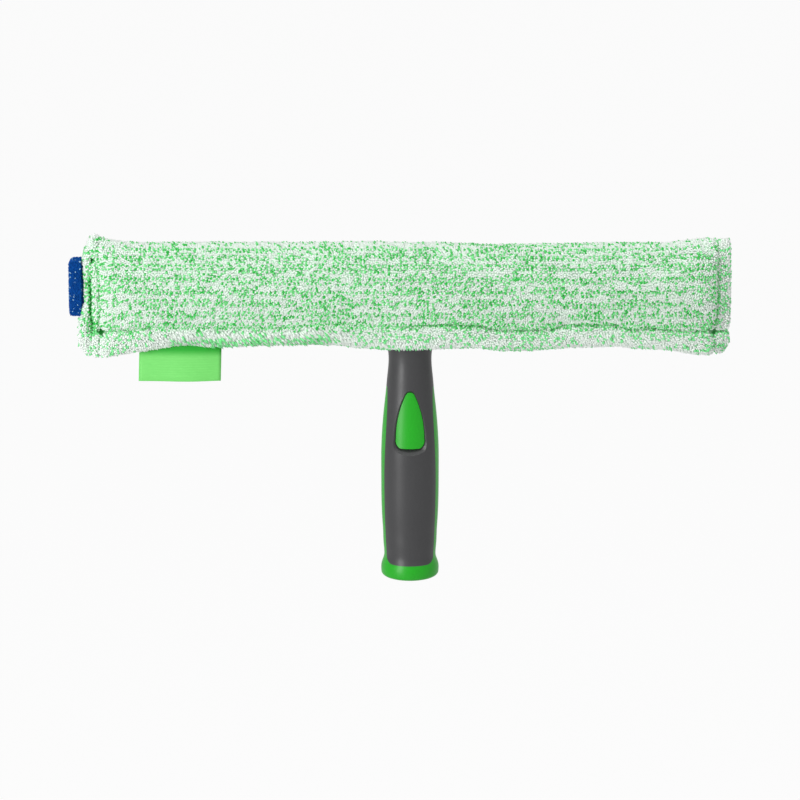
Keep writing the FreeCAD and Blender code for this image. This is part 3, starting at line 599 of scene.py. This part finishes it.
INNER_WIDTH = 0.0009
INNER_DEPTH = 0.0018
INNER_GATHERS = ((0.177, 0.004), (0.139, 0.006), (0.160, 0.006))
INNER_SHARES = (0.4, 0.6, 0.3)
FURROW_WANDER = ((0.0005, 150), (0.0003, 410))
RIGHT_FURROW = 0.1644
RIGHT_DEPTH = 0.0012
RIGHT_BEND = 0.155
RIGHT_SLOPE = 0.06
END_BEADS = ((-0.1752, 0.0018, 0.0012), (-0.1686, 0.0014, 0.0012))
TUCKS = (
    (-0.1660, 0.1372, 0.0024, 0.0030),
    (-0.1690, 0.1764, 0.0018, 0.0030),
    (0.1270, 0.1410, 0.0020, 0.0012),
    (0.1628, 0.1368, 0.0020, 0.0020),
)
PUFF_PRESSURE = 4.0
PUFF_MASS = 0.3
PUFF_FRAMES = 20
PUFF_CAP = 0.0016
GROUND_GREEN = (0.50, 0.88, 0.56)
GROUND_PALE = (0.74, 0.95, 0.78)
# The deep green that the furrows, creases and tucks take is painted shade.
GROUND_PAINTED_SHADE = (0.012, 0.26, 0.035)
TINY = 1e-9


def coordinates(piece, what="co"):
    """Every vertex's place, or its normal, as rows."""
    rows = np.zeros(len(piece.data.vertices) * 3)
    piece.data.vertices.foreach_get(what, rows)
    return rows.reshape(-1, 3)


def move_to(piece, rows):
    """Puts every vertex of a piece at its row."""
    piece.data.vertices.foreach_set("co", rows.ravel())
    piece.data.update()


def apply_modifiers(piece):
    """Turns a piece with modifiers into a plain mesh."""
    bpy.context.view_layer.update()
    evaluated = piece.evaluated_get(bpy.context.evaluated_depsgraph_get())
    mesh = bpy.data.meshes.new_from_object(evaluated)
    piece.modifiers.clear()
    old = piece.data
    piece.data = mesh
    bpy.data.meshes.remove(old)


def remeshed(piece, voxel):
    """Gives a piece even faces of this size."""
    even = piece.modifiers.new("even_faces", "REMESH")
    even.mode = "VOXEL"
    even.voxel_size = voxel
    apply_modifiers(piece)


def ramp(value, start, reach):
    """0 before the start, rising to 1 over the reach; a reach below 0 rises towards lower values."""
    return np.clip((value - start) / reach, 0, 1)


def ridge(distance, half_width):
    """1 on a line, falling smoothly to 0 beside it."""
    return np.exp(-((distance / half_width) ** 2))


def along_table(x, table):
    """Reads a table of places and values along the sleeve."""
    return np.interp(x, *zip(*table))


def crease_level(x, shares=CREASE_SHARES):
    """Height of the hem's stitched crease along the sleeve."""
    return CREASE_LEVEL + HEM_DROP * along_table(x, shares)


def outward_share(rows):
    """0 on the lining of the bar's room, rising to 1 a little way out from its edges."""
    x, y, z = rows.T
    gaps = []
    for (left, right), half, top, rounding in (SLEEVE_ROOM, NECK_NOTCH):
        beyond = np.array([left - x, x - right, np.abs(y) - half, z - top]) + rounding
        beyond = np.array([np.maximum(beyond[0], beyond[1]), beyond[2], beyond[3]])
        outside = np.linalg.norm(np.maximum(beyond, 0), axis=0)
        gaps.append(outside + np.minimum(beyond.max(axis=0), 0) - rounding)
    return ramp(np.min(gaps, axis=0), *LINING_RAMP)


def furrow_distances(x, z):
    """How far places are from the outer, the inner and the right furrow of the sleeve's ends."""
    wander = sum(size * np.sin(z * turns) for size, turns in FURROW_WANDER)
    slant = RIGHT_SLOPE * np.maximum(RIGHT_BEND - z, 0)
    return x - OUTER_FURROW - wander, x - INNER_FURROW + wander, x - RIGHT_FURROW + slant


def outer_share(distance, z):
    """How much of its depth the outer furrow has, which fades towards its ends."""
    low, high = OUTER_ENDS
    kept = np.clip(np.minimum(high - z, z - low) / OUTER_FADE, OUTER_LEAST, 1)
    return ridge(distance, OUTER_WIDTH) * kept


def tuck_depths(x, z):
    """How deep each tuck pulls the sleeve in, as rows."""
    return np.array(
        [depth * ridge(x - along, reach) * ridge(z - level, reach) for along, level, reach, depth in TUCKS]
    )


def puff(piece, pinned):
    """Blows a padded piece up with cloth between its pinned stitches, no vertex moving beyond the cap."""
    group = piece.vertex_groups.new(name="stitches")
    group.add([int(number) for number in np.flatnonzero(pinned)], 1.0, "REPLACE")
    cloth = piece.modifiers.new("cloth", "CLOTH")
    settings = cloth.settings
    settings.vertex_group_mass = group.name
    settings.use_pressure = True
    settings.uniform_pressure_force = PUFF_PRESSURE
    settings.effector_weights.gravity = 0
    settings.quality = 5
    settings.mass = PUFF_MASS
    cloth.point_cache.frame_start = 1
    cloth.point_cache.frame_end = PUFF_FRAMES
    rest = coordinates(piece)
    for number in range(1, PUFF_FRAMES + 1):
        bpy.context.scene.frame_set(number)
    apply_modifiers(piece)
    moved = coordinates(piece) - rest
    far = np.linalg.norm(moved, axis=1, keepdims=True)
    move_to(piece, rest + moved * np.minimum(1, PUFF_CAP / np.maximum(far, TINY)))
    bpy.context.scene.frame_set(1)
    piece.vertex_groups.clear()


ground = merged_copy("sleeve_cover", "sleeve_ground")
remeshed(ground, GROUND_VOXEL)
place = coordinates(ground)
outward = outward_share(place)
place = place - coordinates(ground, "normal") * (PILE_DEPTH * outward)[:, None]
for seam, direction, drawn, low_change in END_DRAW:
    past = np.maximum((place[:, 0] - seam) * direction, 0)
    place[:, 0] -= past * direction * (drawn + low_change * ramp(place[:, 2], *LOW_END_RAMP))
x, z = place[:, 0], place[:, 2]
above = z - crease_level(x, HEM_SHARES)
near = np.clip(np.minimum(1 + above / HEM_HEIGHT, 1 - above / SIDE_REACH), 0, 1)
place[:, 2] += (crease_level(x) - crease_level(x, HEM_SHARES)) * near * outward
place[:, 2] += along_table(x, TOP_TRIM) * ramp(z, *TOP_RAMP)
place[:, 2] += along_table(x, BOTTOM_TRIM) * ramp(z, *BOTTOM_RAMP)
move_to(ground, place)
stitched = np.abs(z - crease_level(x)) < STITCH_REACH
stitched |= np.abs(x - LEFT_SEAM) < STITCH_REACH
stitched |= np.abs(x - RIGHT_SEAM) < STITCH_REACH
puff(ground, stitched | (outward < 0.5))
finer = ground.modifiers.new("finer", "SUBSURF")
finer.levels = finer.render_levels = 1
apply_modifiers(ground)
shape = bmesh.new()
shape.from_mesh(ground.data)
left_end, right_end = FINE_ENDS
ends = [
    edge for edge in shape.edges if all(not left_end < corner.co.x < right_end for corner in edge.verts)
]
bmesh.ops.subdivide_edges(shape, edges=ends, cuts=1, use_grid_fill=True)
bmesh.ops.triangulate(shape, faces=[face for face in shape.faces if len(face.verts) > 4])
shape.to_mesh(ground.data)
shape.free()
place = coordinates(ground)
x, y, z = place.T
outward = outward_share(place)
from_outer, from_inner, from_right = furrow_distances(x, z)
top_gather, low_gather, middle_gather = [ridge(z - level, reach) for level, reach in INNER_GATHERS]
least, at_ends, in_middle = INNER_SHARES
gathered = least + at_ends * np.maximum(top_gather, low_gather) + in_middle * middle_gather
inner = ridge(from_inner, INNER_WIDTH) * gathered
rise = sum(height * ridge(x - along, reach) for along, reach, height in END_BEADS)
rise -= OUTER_DEPTH * outer_share(from_outer, z) + INNER_DEPTH * inner
rise -= RIGHT_DEPTH * ridge(from_right, CREASE_WIDTH)
rise -= CREASE_DEPTH * along_table(x, CREASE_FIRMNESS) * ridge(z - crease_level(x), CREASE_WIDTH)
rise -= tuck_depths(x, z).sum(axis=0)
move_to(ground, place + coordinates(ground, "normal") * (rise * outward)[:, None])
# Where furrows, creases and tucks pull the ground in, its colour goes over to a deep green: painted shade.
knit = Finish("knitted_ground")
painted_furrow_shade = knit.node("ShaderNodeAttribute", {"attribute_name": "furrow"}).output("Fac")
knit_tone = knit.mix(knit.noise(0.005, 3), GROUND_GREEN, GROUND_PALE)
knitted_ground = knit.plain(
    Base_Color=knit.mix(painted_furrow_shade, knit_tone, GROUND_PAINTED_SHADE),
    Roughness=0.95,
    Normal=knit.bump(knit.cells(0.0011), 0.0004),
)
dress(ground, knitted_ground)
smooth(ground)
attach(ground, "sleeve")
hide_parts("sleeve_cover")

# Pile. Cut microfibre tufts, mostly white with green ones scattered in rows, combed down and to the left on
# the body of the sleeve, longer and to the right on the hems, and fanned outwards at the end seams. A band
# is a middle, half its full width and its fade.
TUFT_LENGTH = 0.0015
TUFT_RADIUS = 0.00066
TUFT_SIDES = 4
TUFT_RINGS = ((-0.35, 1.3), (0.6, 0.9))
TUFT_BEND = 0.2
WHITE_PILE = {"size": 1.0, "spacing": 0.00088, "pieces": 4}
GREEN_PILE = {"size": 1.2, "spacing": 0.00135, "pieces": 1}
END_ROOM = 0.01
PILE_JITTER = 0.30
PILE_SEED = 7
TUFT_SPREAD = (0.85, 1.15)
SCATTER_DENSITY = 5.0
DRIFT_STRETCHES = (1.0, 1.7, 0.61)
DRIFT_DEPTH = 0.05
DRIFT_SHIFT = 1.7
DRIFT_TOTAL = 2.2
BODY_WAVES = (0.05, 0.02, 1.0)
GROWTH_WAVES = (0.03, 0.012, 2.0)
HEM_WAVES = (0.06, 0.03, 3.0)
ROW_WAVES = (0.09, 0.5, 4.0)
PATCH_WAVES = (0.045, 0.03, 5.0)
BODY_LEAN = (-0.22, -0.30)
BODY_SWAY = 0.16
GROWTH_SWAY = 0.08
RIGHT_RAMP = (0.02, 0.10)
LOWER_RAMP = (0.165, -0.02)
LOWER_RIGHT_LEAN = 0.2
CROWN_RAMP = (0.168, 0.012)
CROWN_LIFT = 0.22
CORNER_RAMP = (0.182, 0.005)
CORNER_PLACE = -0.171
CORNER_REACH = 0.006
CORNER_GROWTH = 0.9
HEM_RAMP = (-0.001, -0.002)
HEM_LEAN = 0.26
HEM_SWAY = 0.15
HEM_GROWTH = 0.15
UNDERSIDE_GAIN = 1.2
STREAK_BAND = (-0.088, 0.030, 0.030)
STREAK_LEAN = 0.79
STREAK_GROWTH = 1.6
LIP_RAMP = (-0.0045, -0.002)
LIP_BAND = (-0.086, 0.0264, 0.022)
LIP_TINT = 1.5
END_FANS = ((LEFT_SEAM - 0.004, -1, -0.11), (RIGHT_SEAM, 1, 0.02))
FAN_REACH = 0.0015
FAN_LEVEL = 0.155
FAN_HEIGHT = 0.03
PARTING_WIDTH = 0.0026
PARTING_LEAN = 0.6
PILE_CREASE_WIDTH = 0.0015
PILE_INNER_WIDTH = 0.0011
PILE_RIGHT_WIDTH = 0.0013
INNER_TURNS = (260, 1.0)
DEEPEST_TUCK = 0.003
BARE_GAIN = 1.6
BARE_START = 0.8
BARE_FURROW = (0.42, 0.36, 520)
BARE_TUCK = 1.1
GROOVE_WEIGHTS = np.array([1.0, 1.6, 0.9, 0.6, 1.6])
SHADE_WEIGHTS = np.array([0.8, 1.3, 1.0, 0.4, 1.6])
GROOVE_SHORTENS = 0.42
SHORTEST_SHARE = 0.3
ROW_PITCH = 0.0064
ROW_WANDER = 0.0007
PATCH_STRENGTH = 0.3
CROWN_AXIS = 0.1726
CROWN_RADIUS = 0.0144
ROW_STRENGTHS = (
    (-0.150, 0.62), (-0.115, 0.80), (-0.080, 0.66), (-0.040, 0.36), (0.000, 0.64), (0.035, 0.50),
    (0.070, 0.80), (0.110, 0.86), (0.145, 0.76),
)
HEM_PALENESS = (
    (-0.155, 0.40), (-0.135, 0.75), (-0.105, 0.75), (-0.050, 0.60), (-0.020, 0.50), (0.010, 0.25),
    (0.080, 0.25), (0.120, 0.70), (0.150, 0.50), (0.168, -0.60),
)
# In furrows, creases and tucks the pile takes more green tufts and fewer white ones: partly green tufts that
# gather there, partly painted shade.
WHITE_SHARE = 1.25
WHITE_LOSS = 0.8
GREEN_SHARE = 0.66
GROOVE_TINT = 1.6
PALE_END_RAMP = (-0.1735, -0.001)
PALE_END = 0.4
PALE_TOP_RAMP = (0.1822, 0.002)
PALE_TOP = 0.7
YARN_CLOUD = (0.0022, 2)
YARN_STEP = (0.35, 0.65)
YARN_SOFT_DEPTH = 0.0016
# The hems and the right end take the yarns' third tones: painted light where they stand in shade.
HEM_PAINTED_LIGHT_LEVELS = (0.1365, 0.1405)
END_PAINTED_LIGHT_PLACES = (0.1640, 0.1665)
WHITE_YARN = ((0.78, 0.955, 0.81), (0.85, 0.975, 0.87), (0.87, 0.99, 0.885))
GREEN_YARN = ((0.010, 0.50, 0.05), (0.25, 0.80, 0.32), (0.20, 0.79, 0.28))
place = coordinates(ground)
normal = coordinates(ground, "normal")
x, y, z = place.T


def drift(along_x, along_z, start):
    """A slow wander between -1 and 1 over the sleeve, with waves of about these lengths."""
    waves = []
    for number, stretch in enumerate(DRIFT_STRETCHES):
        turns = x / (along_x * stretch) + y / DRIFT_DEPTH + z / (along_z * stretch)
        waves.append(np.sin(math.tau * turns + start * (number + DRIFT_SHIFT)))
    return sum(waves) / DRIFT_TOTAL


def band(middle, half, fade):
    """1 along a length of the sleeve, fading to 0 at both its ends."""
    return np.clip((half + fade - np.abs(x - middle)) / fade, 0, 1)


def leaning(along, up):
    """Lean vectors from their parts along the bar and up."""
    return np.stack([along + 0 * x, 0 * x, up + 0 * x], axis=1)


def blended(first, second, share):
    """Rows that go over from the first to the second with the share."""
    return first * (1 - share[:, None]) + second * share[:, None]


def give(piece, name, rows):
    """Stores a number or a vector for every vertex of a piece."""
    kind, key = ("FLOAT_VECTOR", "vector") if rows.ndim == 2 else ("FLOAT", "value")
    attribute = piece.data.attributes.new(name, kind, "POINT")
    attribute.data.foreach_set(key, rows.ravel().astype(np.float32))


above = z - crease_level(x)
hem = ramp(above, *HEM_RAMP)
streaky = band(*STREAK_BAND)
lower_right = ramp(x, *RIGHT_RAMP) * ramp(z, *LOWER_RAMP)
body_lean = leaning(
    BODY_LEAN[0] + BODY_SWAY * drift(*BODY_WAVES) + LOWER_RIGHT_LEAN * lower_right,
    BODY_LEAN[1] + CROWN_LIFT * ramp(z, *CROWN_RAMP),
)
hem_lean = leaning(
    HEM_LEAN + STREAK_LEAN * streaky + HEM_SWAY * drift(*HEM_WAVES), -HEM_LEAN - STREAK_LEAN * streaky
)
lean = blended(body_lean, hem_lean, hem)
for seam, direction, outwards in END_FANS:
    fan = leaning(outwards, (z - FAN_LEVEL) / FAN_HEIGHT)
    lean = blended(lean, fan, ramp(x, seam, direction * FAN_REACH))
from_outer, from_inner, from_right = furrow_distances(x, z)
lean[:, 0] += PARTING_LEAN * np.sign(from_outer) * ridge(x - OUTER_FURROW, PARTING_WIDTH)
lean -= normal * np.sum(lean * normal, axis=1, keepdims=True)
crease = along_table(x, CREASE_FIRMNESS) * ridge(above, PILE_CREASE_WIDTH)
outer = outer_share(from_outer, z)
turns, start = INNER_TURNS
inner = ridge(from_inner, PILE_INNER_WIDTH) * (0.5 + 0.5 * np.sin(z * turns + start) ** 2)
hollow = tuck_depths(x, z).max(axis=0) / DEEPEST_TUCK
creases = np.array([crease, outer, inner, ridge(from_right, PILE_RIGHT_WIDTH), hollow])
groove = np.max(creases * GROOVE_WEIGHTS[:, None], axis=0)
# This furrow share darkens the ground's colour there: painted shade.
furrow = np.clip(np.max(creases * SHADE_WEIGHTS[:, None], axis=0), 0, 1)
usual, sway, turns = BARE_FURROW
open_furrow = outer * (usual + sway * np.sin(z * turns))
bare = np.clip(BARE_GAIN * np.maximum(open_furrow, hollow * BARE_TUCK) - BARE_START, 0, 1)
growth = 1.0 + GROWTH_SWAY * drift(*GROWTH_WAVES)
facing_out = np.clip(1 + UNDERSIDE_GAIN * normal[:, 2], 0, 1)
growth += (HEM_GROWTH + STREAK_GROWTH * streaky) * hem * facing_out
growth += CORNER_GROWTH * ramp(z, *CORNER_RAMP) * ridge(x - CORNER_PLACE, CORNER_REACH)
round_crown = CROWN_AXIS + CROWN_RADIUS * np.arctan2(z - CROWN_AXIS, np.abs(y))
row = np.where(z > CROWN_AXIS, round_crown, z) + ROW_WANDER * drift(*ROW_WAVES)
stripes = 1 + along_table(x, ROW_STRENGTHS) * np.sin(math.tau * row / ROW_PITCH)
patches = 1 + PATCH_STRENGTH * drift(*PATCH_WAVES)
lip = ramp(above, *LIP_RAMP) * band(*LIP_BAND)
# More green tufts and fewer white ones in the grooves: partly green tufts gathered there, partly painted
# shade.
tint = 1 + GROOVE_TINT * groove
tint *= 1 - PALE_END * ramp(x, *PALE_END_RAMP)
tint *= 1 - PALE_TOP * ramp(z, *PALE_TOP_RAMP)
tint *= 1 + LIP_TINT * lip - along_table(x, HEM_PALENESS) * hem * (1 - lip)
grown = (outward_share(place) > 0.4) * (1 - bare)
give(ground, "lean", lean)
give(ground, "growth", growth * np.clip(1 - GROOVE_SHORTENS * groove, SHORTEST_SHARE, 1))
give(ground, "furrow", furrow)
give(ground, "white", grown * np.clip(WHITE_SHARE - WHITE_LOSS * groove, 0, 1))
give(ground, "green", grown * GREEN_SHARE * tint * stripes * patches)


def pile_tree():
    """Tufts scattered evenly over a ground, leaning as it says and kept by a chance that it gives."""
    tree, given = geometry_tree(
        "pile_tufts",
        {
            "Tuft": "Object",
            "Size": "Float",
            "Spacing": "Float",
            "Jitter": "Float",
            "Chance": "String",
            "From": "Float",
            "To": "Float",
            "Seed": "Int",
            "Finish": "Material",
        },
    )

    def named(name, kind="FLOAT"):
        return tree.node("GeometryNodeInputNamedAttribute", {"data_type": kind}, name)

    def random(kind, low, high, salt):
        seed = given["Seed"] + float(salt)
        return tree.node("FunctionNodeRandomValue", {"data_type": kind}, low, high, Seed=seed)

    def vectors(operation, *values, **named_values):
        return tree.node("ShaderNodeVectorMath", {"operation": operation}, *values, **named_values)

    scatter = tree.node(
        "GeometryNodeDistributePointsOnFaces",
        {"distribute_method": "POISSON"},
        given["Geometry"],
        Distance_Min=given["Spacing"],
        Density_Max=SCATTER_DENSITY / (given["Spacing"] * given["Spacing"]),
        Seed=given["Seed"],
    )
    along = tree.node("ShaderNodeSeparateXYZ", None, tree.node("GeometryNodeInputPosition"))
    in_range = (along > given["From"]) * (along < given["To"])
    keep = (random("FLOAT", 0.0, 1.0, 11) < named(given["Chance"])) * in_range
    bent = random("FLOAT_VECTOR", (-1.0, -1.0, -1.0), (1.0, 1.0, 1.0), 3)
    lean_given = named("lean", "FLOAT_VECTOR")
    way = vectors("ADD", scatter.output("Normal"), lean_given)
    way = vectors("ADD", way, vectors("SCALE", bent, Scale=given["Jitter"]))
    turned = tree.node("FunctionNodeAlignRotationToVector", {"axis": "Z"}, Vector=way)
    turned = tree.node(
        "FunctionNodeAlignRotationToVector", {"axis": "X", "pivot_axis": "Z"}, turned, Vector=lean_given
    )
    thick = random("FLOAT", *TUFT_SPREAD, 5) * given["Size"]
    long = random("FLOAT", *TUFT_SPREAD, 6) * named("growth") * given["Size"]
    size = tree.node("ShaderNodeCombineXYZ", None, thick, thick, long)
    tuft = tree.node("GeometryNodeObjectInfo", None, Object=given["Tuft"]).output("Geometry")
    placed = tree.node(
        "GeometryNodeInstanceOnPoints", None, scatter, keep, tuft, Rotation=turned, Scale=size
    )
    real = tree.node("GeometryNodeRealizeInstances", None, placed)
    done = tree.node("GeometryNodeSetMaterial", None, Geometry=real, Material=given["Finish"])
    tree.node("NodeGroupOutput", None, done)
    return tree.nodes


def tuft_of(length, radius):
    """One tuft: a short stalk that bends a little, its root below the ground, under a domed tip."""
    points, faces = [], [tuple(range(TUFT_SIDES))[::-1]]
    for level, share in TUFT_RINGS:
        for side in range(TUFT_SIDES):
            turn = math.tau * side / TUFT_SIDES
            out = Vector((math.cos(turn), math.sin(turn), 0)) * radius * share
            points.append(out + Vector((length * TUFT_BEND * level**2, 0, length * level)))
    points.append(Vector((length * TUFT_BEND, 0, length)))
    tip = len(points) - 1
    for side in range(TUFT_SIDES):
        after = (side + 1) % TUFT_SIDES
        upper, upper_after = side + TUFT_SIDES, after + TUFT_SIDES
        faces += [(side, after, upper_after, upper), (upper, upper_after, tip)]
    made = new_piece("tuft", points, faces)
    smooth(made)
    return made


def yarn(name, tones, sheen, softness):
    """Microfibre: its tone changes from tuft to tuft; the third one, on the hems and right end, is painted
    light.
    """
    first, second, edge = tones
    made = Finish(name)
    tone = made.smoothstep(made.noise(*YARN_CLOUD), *YARN_STEP)
    # Painted light: the hems and the right end go over to the third tone.
    low = made.smoothstep(made.along("Z"), *HEM_PAINTED_LIGHT_LEVELS, low=1.0, high=0.0)
    end = made.smoothstep(made.along("X"), *END_PAINTED_LIGHT_PLACES)
    return made.plain(
        Base_Color=made.mix(made.maths("MAXIMUM", low, end), made.mix(tone, first, second), edge),
        Roughness=0.85,
        Sheen_Weight=sheen,
        Subsurface_Weight=softness,
        Subsurface_Radius=(1.0, 1.0, 1.0),
        Subsurface_Scale=YARN_SOFT_DEPTH,
    )


tuft = tuft_of(TUFT_LENGTH, TUFT_RADIUS)
tufts = pile_tree()
white_pile = yarn("white_pile", WHITE_YARN, sheen=0.15, softness=0.65)
green_pile = yarn("green_pile", GREEN_YARN, sheen=0.1, softness=0.2)
sleeve_low, sleeve_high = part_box("sleeve_cover")
for colour, finish, sort in (("white", white_pile, WHITE_PILE), ("green", green_pile, GREEN_PILE)):
    cuts = np.linspace(sleeve_low.x - END_ROOM, sleeve_high.x + END_ROOM, sort["pieces"] + 1)
    for number in range(sort["pieces"]):
        pile = modified(
            f"{colour}_pile_{number + 1}",
            ground,
            tufts,
            {
                "Tuft": tuft,
                "Size": sort["size"],
                "Spacing": sort["spacing"],
                "Jitter": PILE_JITTER,
                "Chance": colour,
                "From": float(cuts[number]),
                "To": float(cuts[number + 1]),
                "Seed": PILE_SEED,
                "Finish": finish,
            },
        )
        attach(pile, "sleeve")
        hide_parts("sleeve_cover")
bpy.data.objects.remove(tuft)

# Scrub pad. Coarse blue scrub fabric with white specks, folded to a rounded strip and sewn into the left
# seam, for spots that the pile doesn't lift.
PAD_VOXEL = 0.0007
PAD_CORNER = 0.0030
PAD_SEWN_RAMP = (0.0082, 0.0006)
PAD_SINK = 0.0013
PAD_SHIFT = 0.0014
PAD_SQUARENESS = (0.8, 0.15)
BRISTLE_LENGTH = 0.0009
BRISTLE_RADIUS = 0.00030
BRISTLE_SWAY = (0.35, 900)
BRISTLE_JITTER = 0.6
BRISTLE_SEED = 3
BLUE_BRISTLES = {"size": 1.0, "spacing": 0.00050}
WHITE_BRISTLES = {"size": 1.15, "spacing": 0.0013}
SPECK_SHARE = 0.22
pad = merged_copy("scrub_pad", "scrub_pad_cloth")
remeshed(pad, PAD_VOXEL)
place = coordinates(pad)
loose = 1 - ramp(place[:, 0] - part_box("scrub_pad")[0].x, *PAD_SEWN_RAMP)
place = place - coordinates(pad, "normal") * (PAD_SINK * loose)[:, None]
pad_side, pad_foot, pad_head = place[:, 0].min(), place[:, 2].min(), place[:, 2].max()
for level, direction, squareness in zip((pad_foot, pad_head), (1, -1), PAD_SQUARENESS):
    over = np.maximum(PAD_CORNER - (place[:, 0] - pad_side), 0)
    up = np.maximum(PAD_CORNER - (place[:, 2] - level) * direction, 0)
    spread = (np.hypot(over, up) / np.maximum(np.maximum(over, up), TINY)) ** squareness
    corner = (over > 0) & (up > 0)
    place[:, 0] -= np.where(corner, over * (spread - 1), 0)
    place[:, 2] -= np.where(corner, up * (spread - 1), 0) * direction
place[:, 0] += PAD_SHIFT * loose
move_to(pad, place)
sway, turns = BRISTLE_SWAY
give(pad, "lean", np.stack([0 * loose, 0 * loose, sway * np.sin(place[:, 2] * turns)], axis=1))
give(pad, "growth", 1 + 0 * loose)
give(pad, "blue", loose)
give(pad, "white", loose * SPECK_SHARE)
blue_scrub = grained(
    "blue_scrub",
    tones=((0.0003, 0.038, 0.24), (0.0006, 0.115, 0.46)),
    cloud=(0.0012, 3),
    roughness=0.8,
    relief=0.0004,
    Specular_IOR_Level=0.15,
)
white_specks = grained(
    "white_specks", tones=((0.16, 0.44, 0.66), (0.50, 0.70, 0.82)), cloud=(0.0008, 2), roughness=0.8
)
smooth(pad)
dress(pad, blue_scrub)
bristle = tuft_of(BRISTLE_LENGTH, BRISTLE_RADIUS)
for colour, finish, sort in (("blue", blue_scrub, BLUE_BRISTLES), ("white", white_specks, WHITE_BRISTLES)):
    bristles = modified(
        f"{colour}_bristles",
        pad,
        tufts,
        {
            "Tuft": bristle,
            "Size": sort["size"],
            "Spacing": sort["spacing"],
            "Jitter": BRISTLE_JITTER,
            "Chance": colour,
            "From": -1.0,
            "To": 1.0,
            "Seed": BRISTLE_SEED,
            "Finish": finish,
        },
    )
    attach(bristles, "sleeve")
    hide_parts("scrub_pad")
bpy.data.objects.remove(bristle)
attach(pad, "sleeve")
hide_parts("scrub_pad")

# Ribbon tag. A length of light green satin ribbon folded in two, its ends sewn into the front hem; both its
# faces are bare.
RIBBON = 0.00030
TAG_FOLD = 0.00045
TAG_COLUMNS = 25
TAG_ROWS = 11
TAG_TURNS = 7
TAG_SET = Vector((0.0005, 0.0006, 0))
TAG_WIDTH_SHARE = 0.995
TAG_BOW = 0.0014
TAG_CURL = (0.0004, 4.2, 0.6)
TAG_LEAN = 0.0030
TAG_SWING = 0.0006
# The tag goes over to a deep green towards its top, under the hem: painted shade.
TAG_PAINTED_SHADE_LEVELS = (0.1236, 0.1290)
TAG_TONES = ((0.135, 0.60, 0.11), (0.185, 0.67, 0.15))
TAG_PAINTED_SHADE = (0.004, 0.37, 0.012)
TAG_THREAD = 0.0042
tag_low, tag_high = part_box("sewn_tag")
tag_middle = (tag_low + tag_high) / 2 + TAG_SET
tag_half = (tag_high.x - tag_low.x) / 2 * TAG_WIDTH_SHARE
drop = tag_high.z - tag_low.z - TAG_FOLD
profile = [(-TAG_FOLD, drop * share) for share in np.linspace(1, 0, TAG_ROWS)]
for turn in np.linspace(0, math.pi, TAG_TURNS)[1:-1]:
    profile.append((-TAG_FOLD * math.cos(turn), -TAG_FOLD * math.sin(turn)))
profile += [(TAG_FOLD, drop * share) for share in np.linspace(0, 1, TAG_ROWS)]
curl_size, curl_turns, curl_start = TAG_CURL
points, faces = [], []
for back, height in profile:
    below = 1 - max(height, 0) / drop
    for across in np.linspace(-1, 1, TAG_COLUMNS):
        curl = curl_size * below * math.sin(across * curl_turns + curl_start)
        points.append(
            (
                tag_middle.x + across * tag_half - TAG_SWING * below,
                tag_middle.y + TAG_LEAN * (0.5 - below) - TAG_BOW * (0.5 - across**2) - curl + back,
                tag_low.z + TAG_FOLD + height,
            )
        )
for line in range(len(profile) - 1):
    for column in range(TAG_COLUMNS - 1):
        start = line * TAG_COLUMNS + column
        faces.append((start, start + TAG_COLUMNS, start + TAG_COLUMNS + 1, start + 1))
tag = new_piece("ribbon_tag", points, faces)
thickness = tag.modifiers.new("thickness", "SOLIDIFY")
thickness.thickness = RIBBON
thickness.offset = 0
apply_modifiers(tag)
smooth(tag)
ribbon = Finish("green_ribbon")
rib = ribbon.noise(0.0005, 2, (6, 1, 1))
# Painted shade: the tag's colour darkens towards its top, under the hem.
painted_shade = ribbon.smoothstep(ribbon.along("Z"), *TAG_PAINTED_SHADE_LEVELS)
thread = ribbon.node(
    "ShaderNodeTexWave", {"bands_direction": "Z"}, Vector=ribbon.place, Scale=1 / TAG_THREAD
)
green_ribbon = ribbon.plain(
    Base_Color=ribbon.mix(painted_shade, ribbon.mix(rib, *TAG_TONES), TAG_PAINTED_SHADE),
    Roughness=0.5 + rib * 0.15,
    Normal=ribbon.bump(thread * 0.6 + rib * 0.4, 0.00004),
)
dress(tag, green_ribbon)
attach(tag, "sleeve")
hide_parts("sewn_tag")
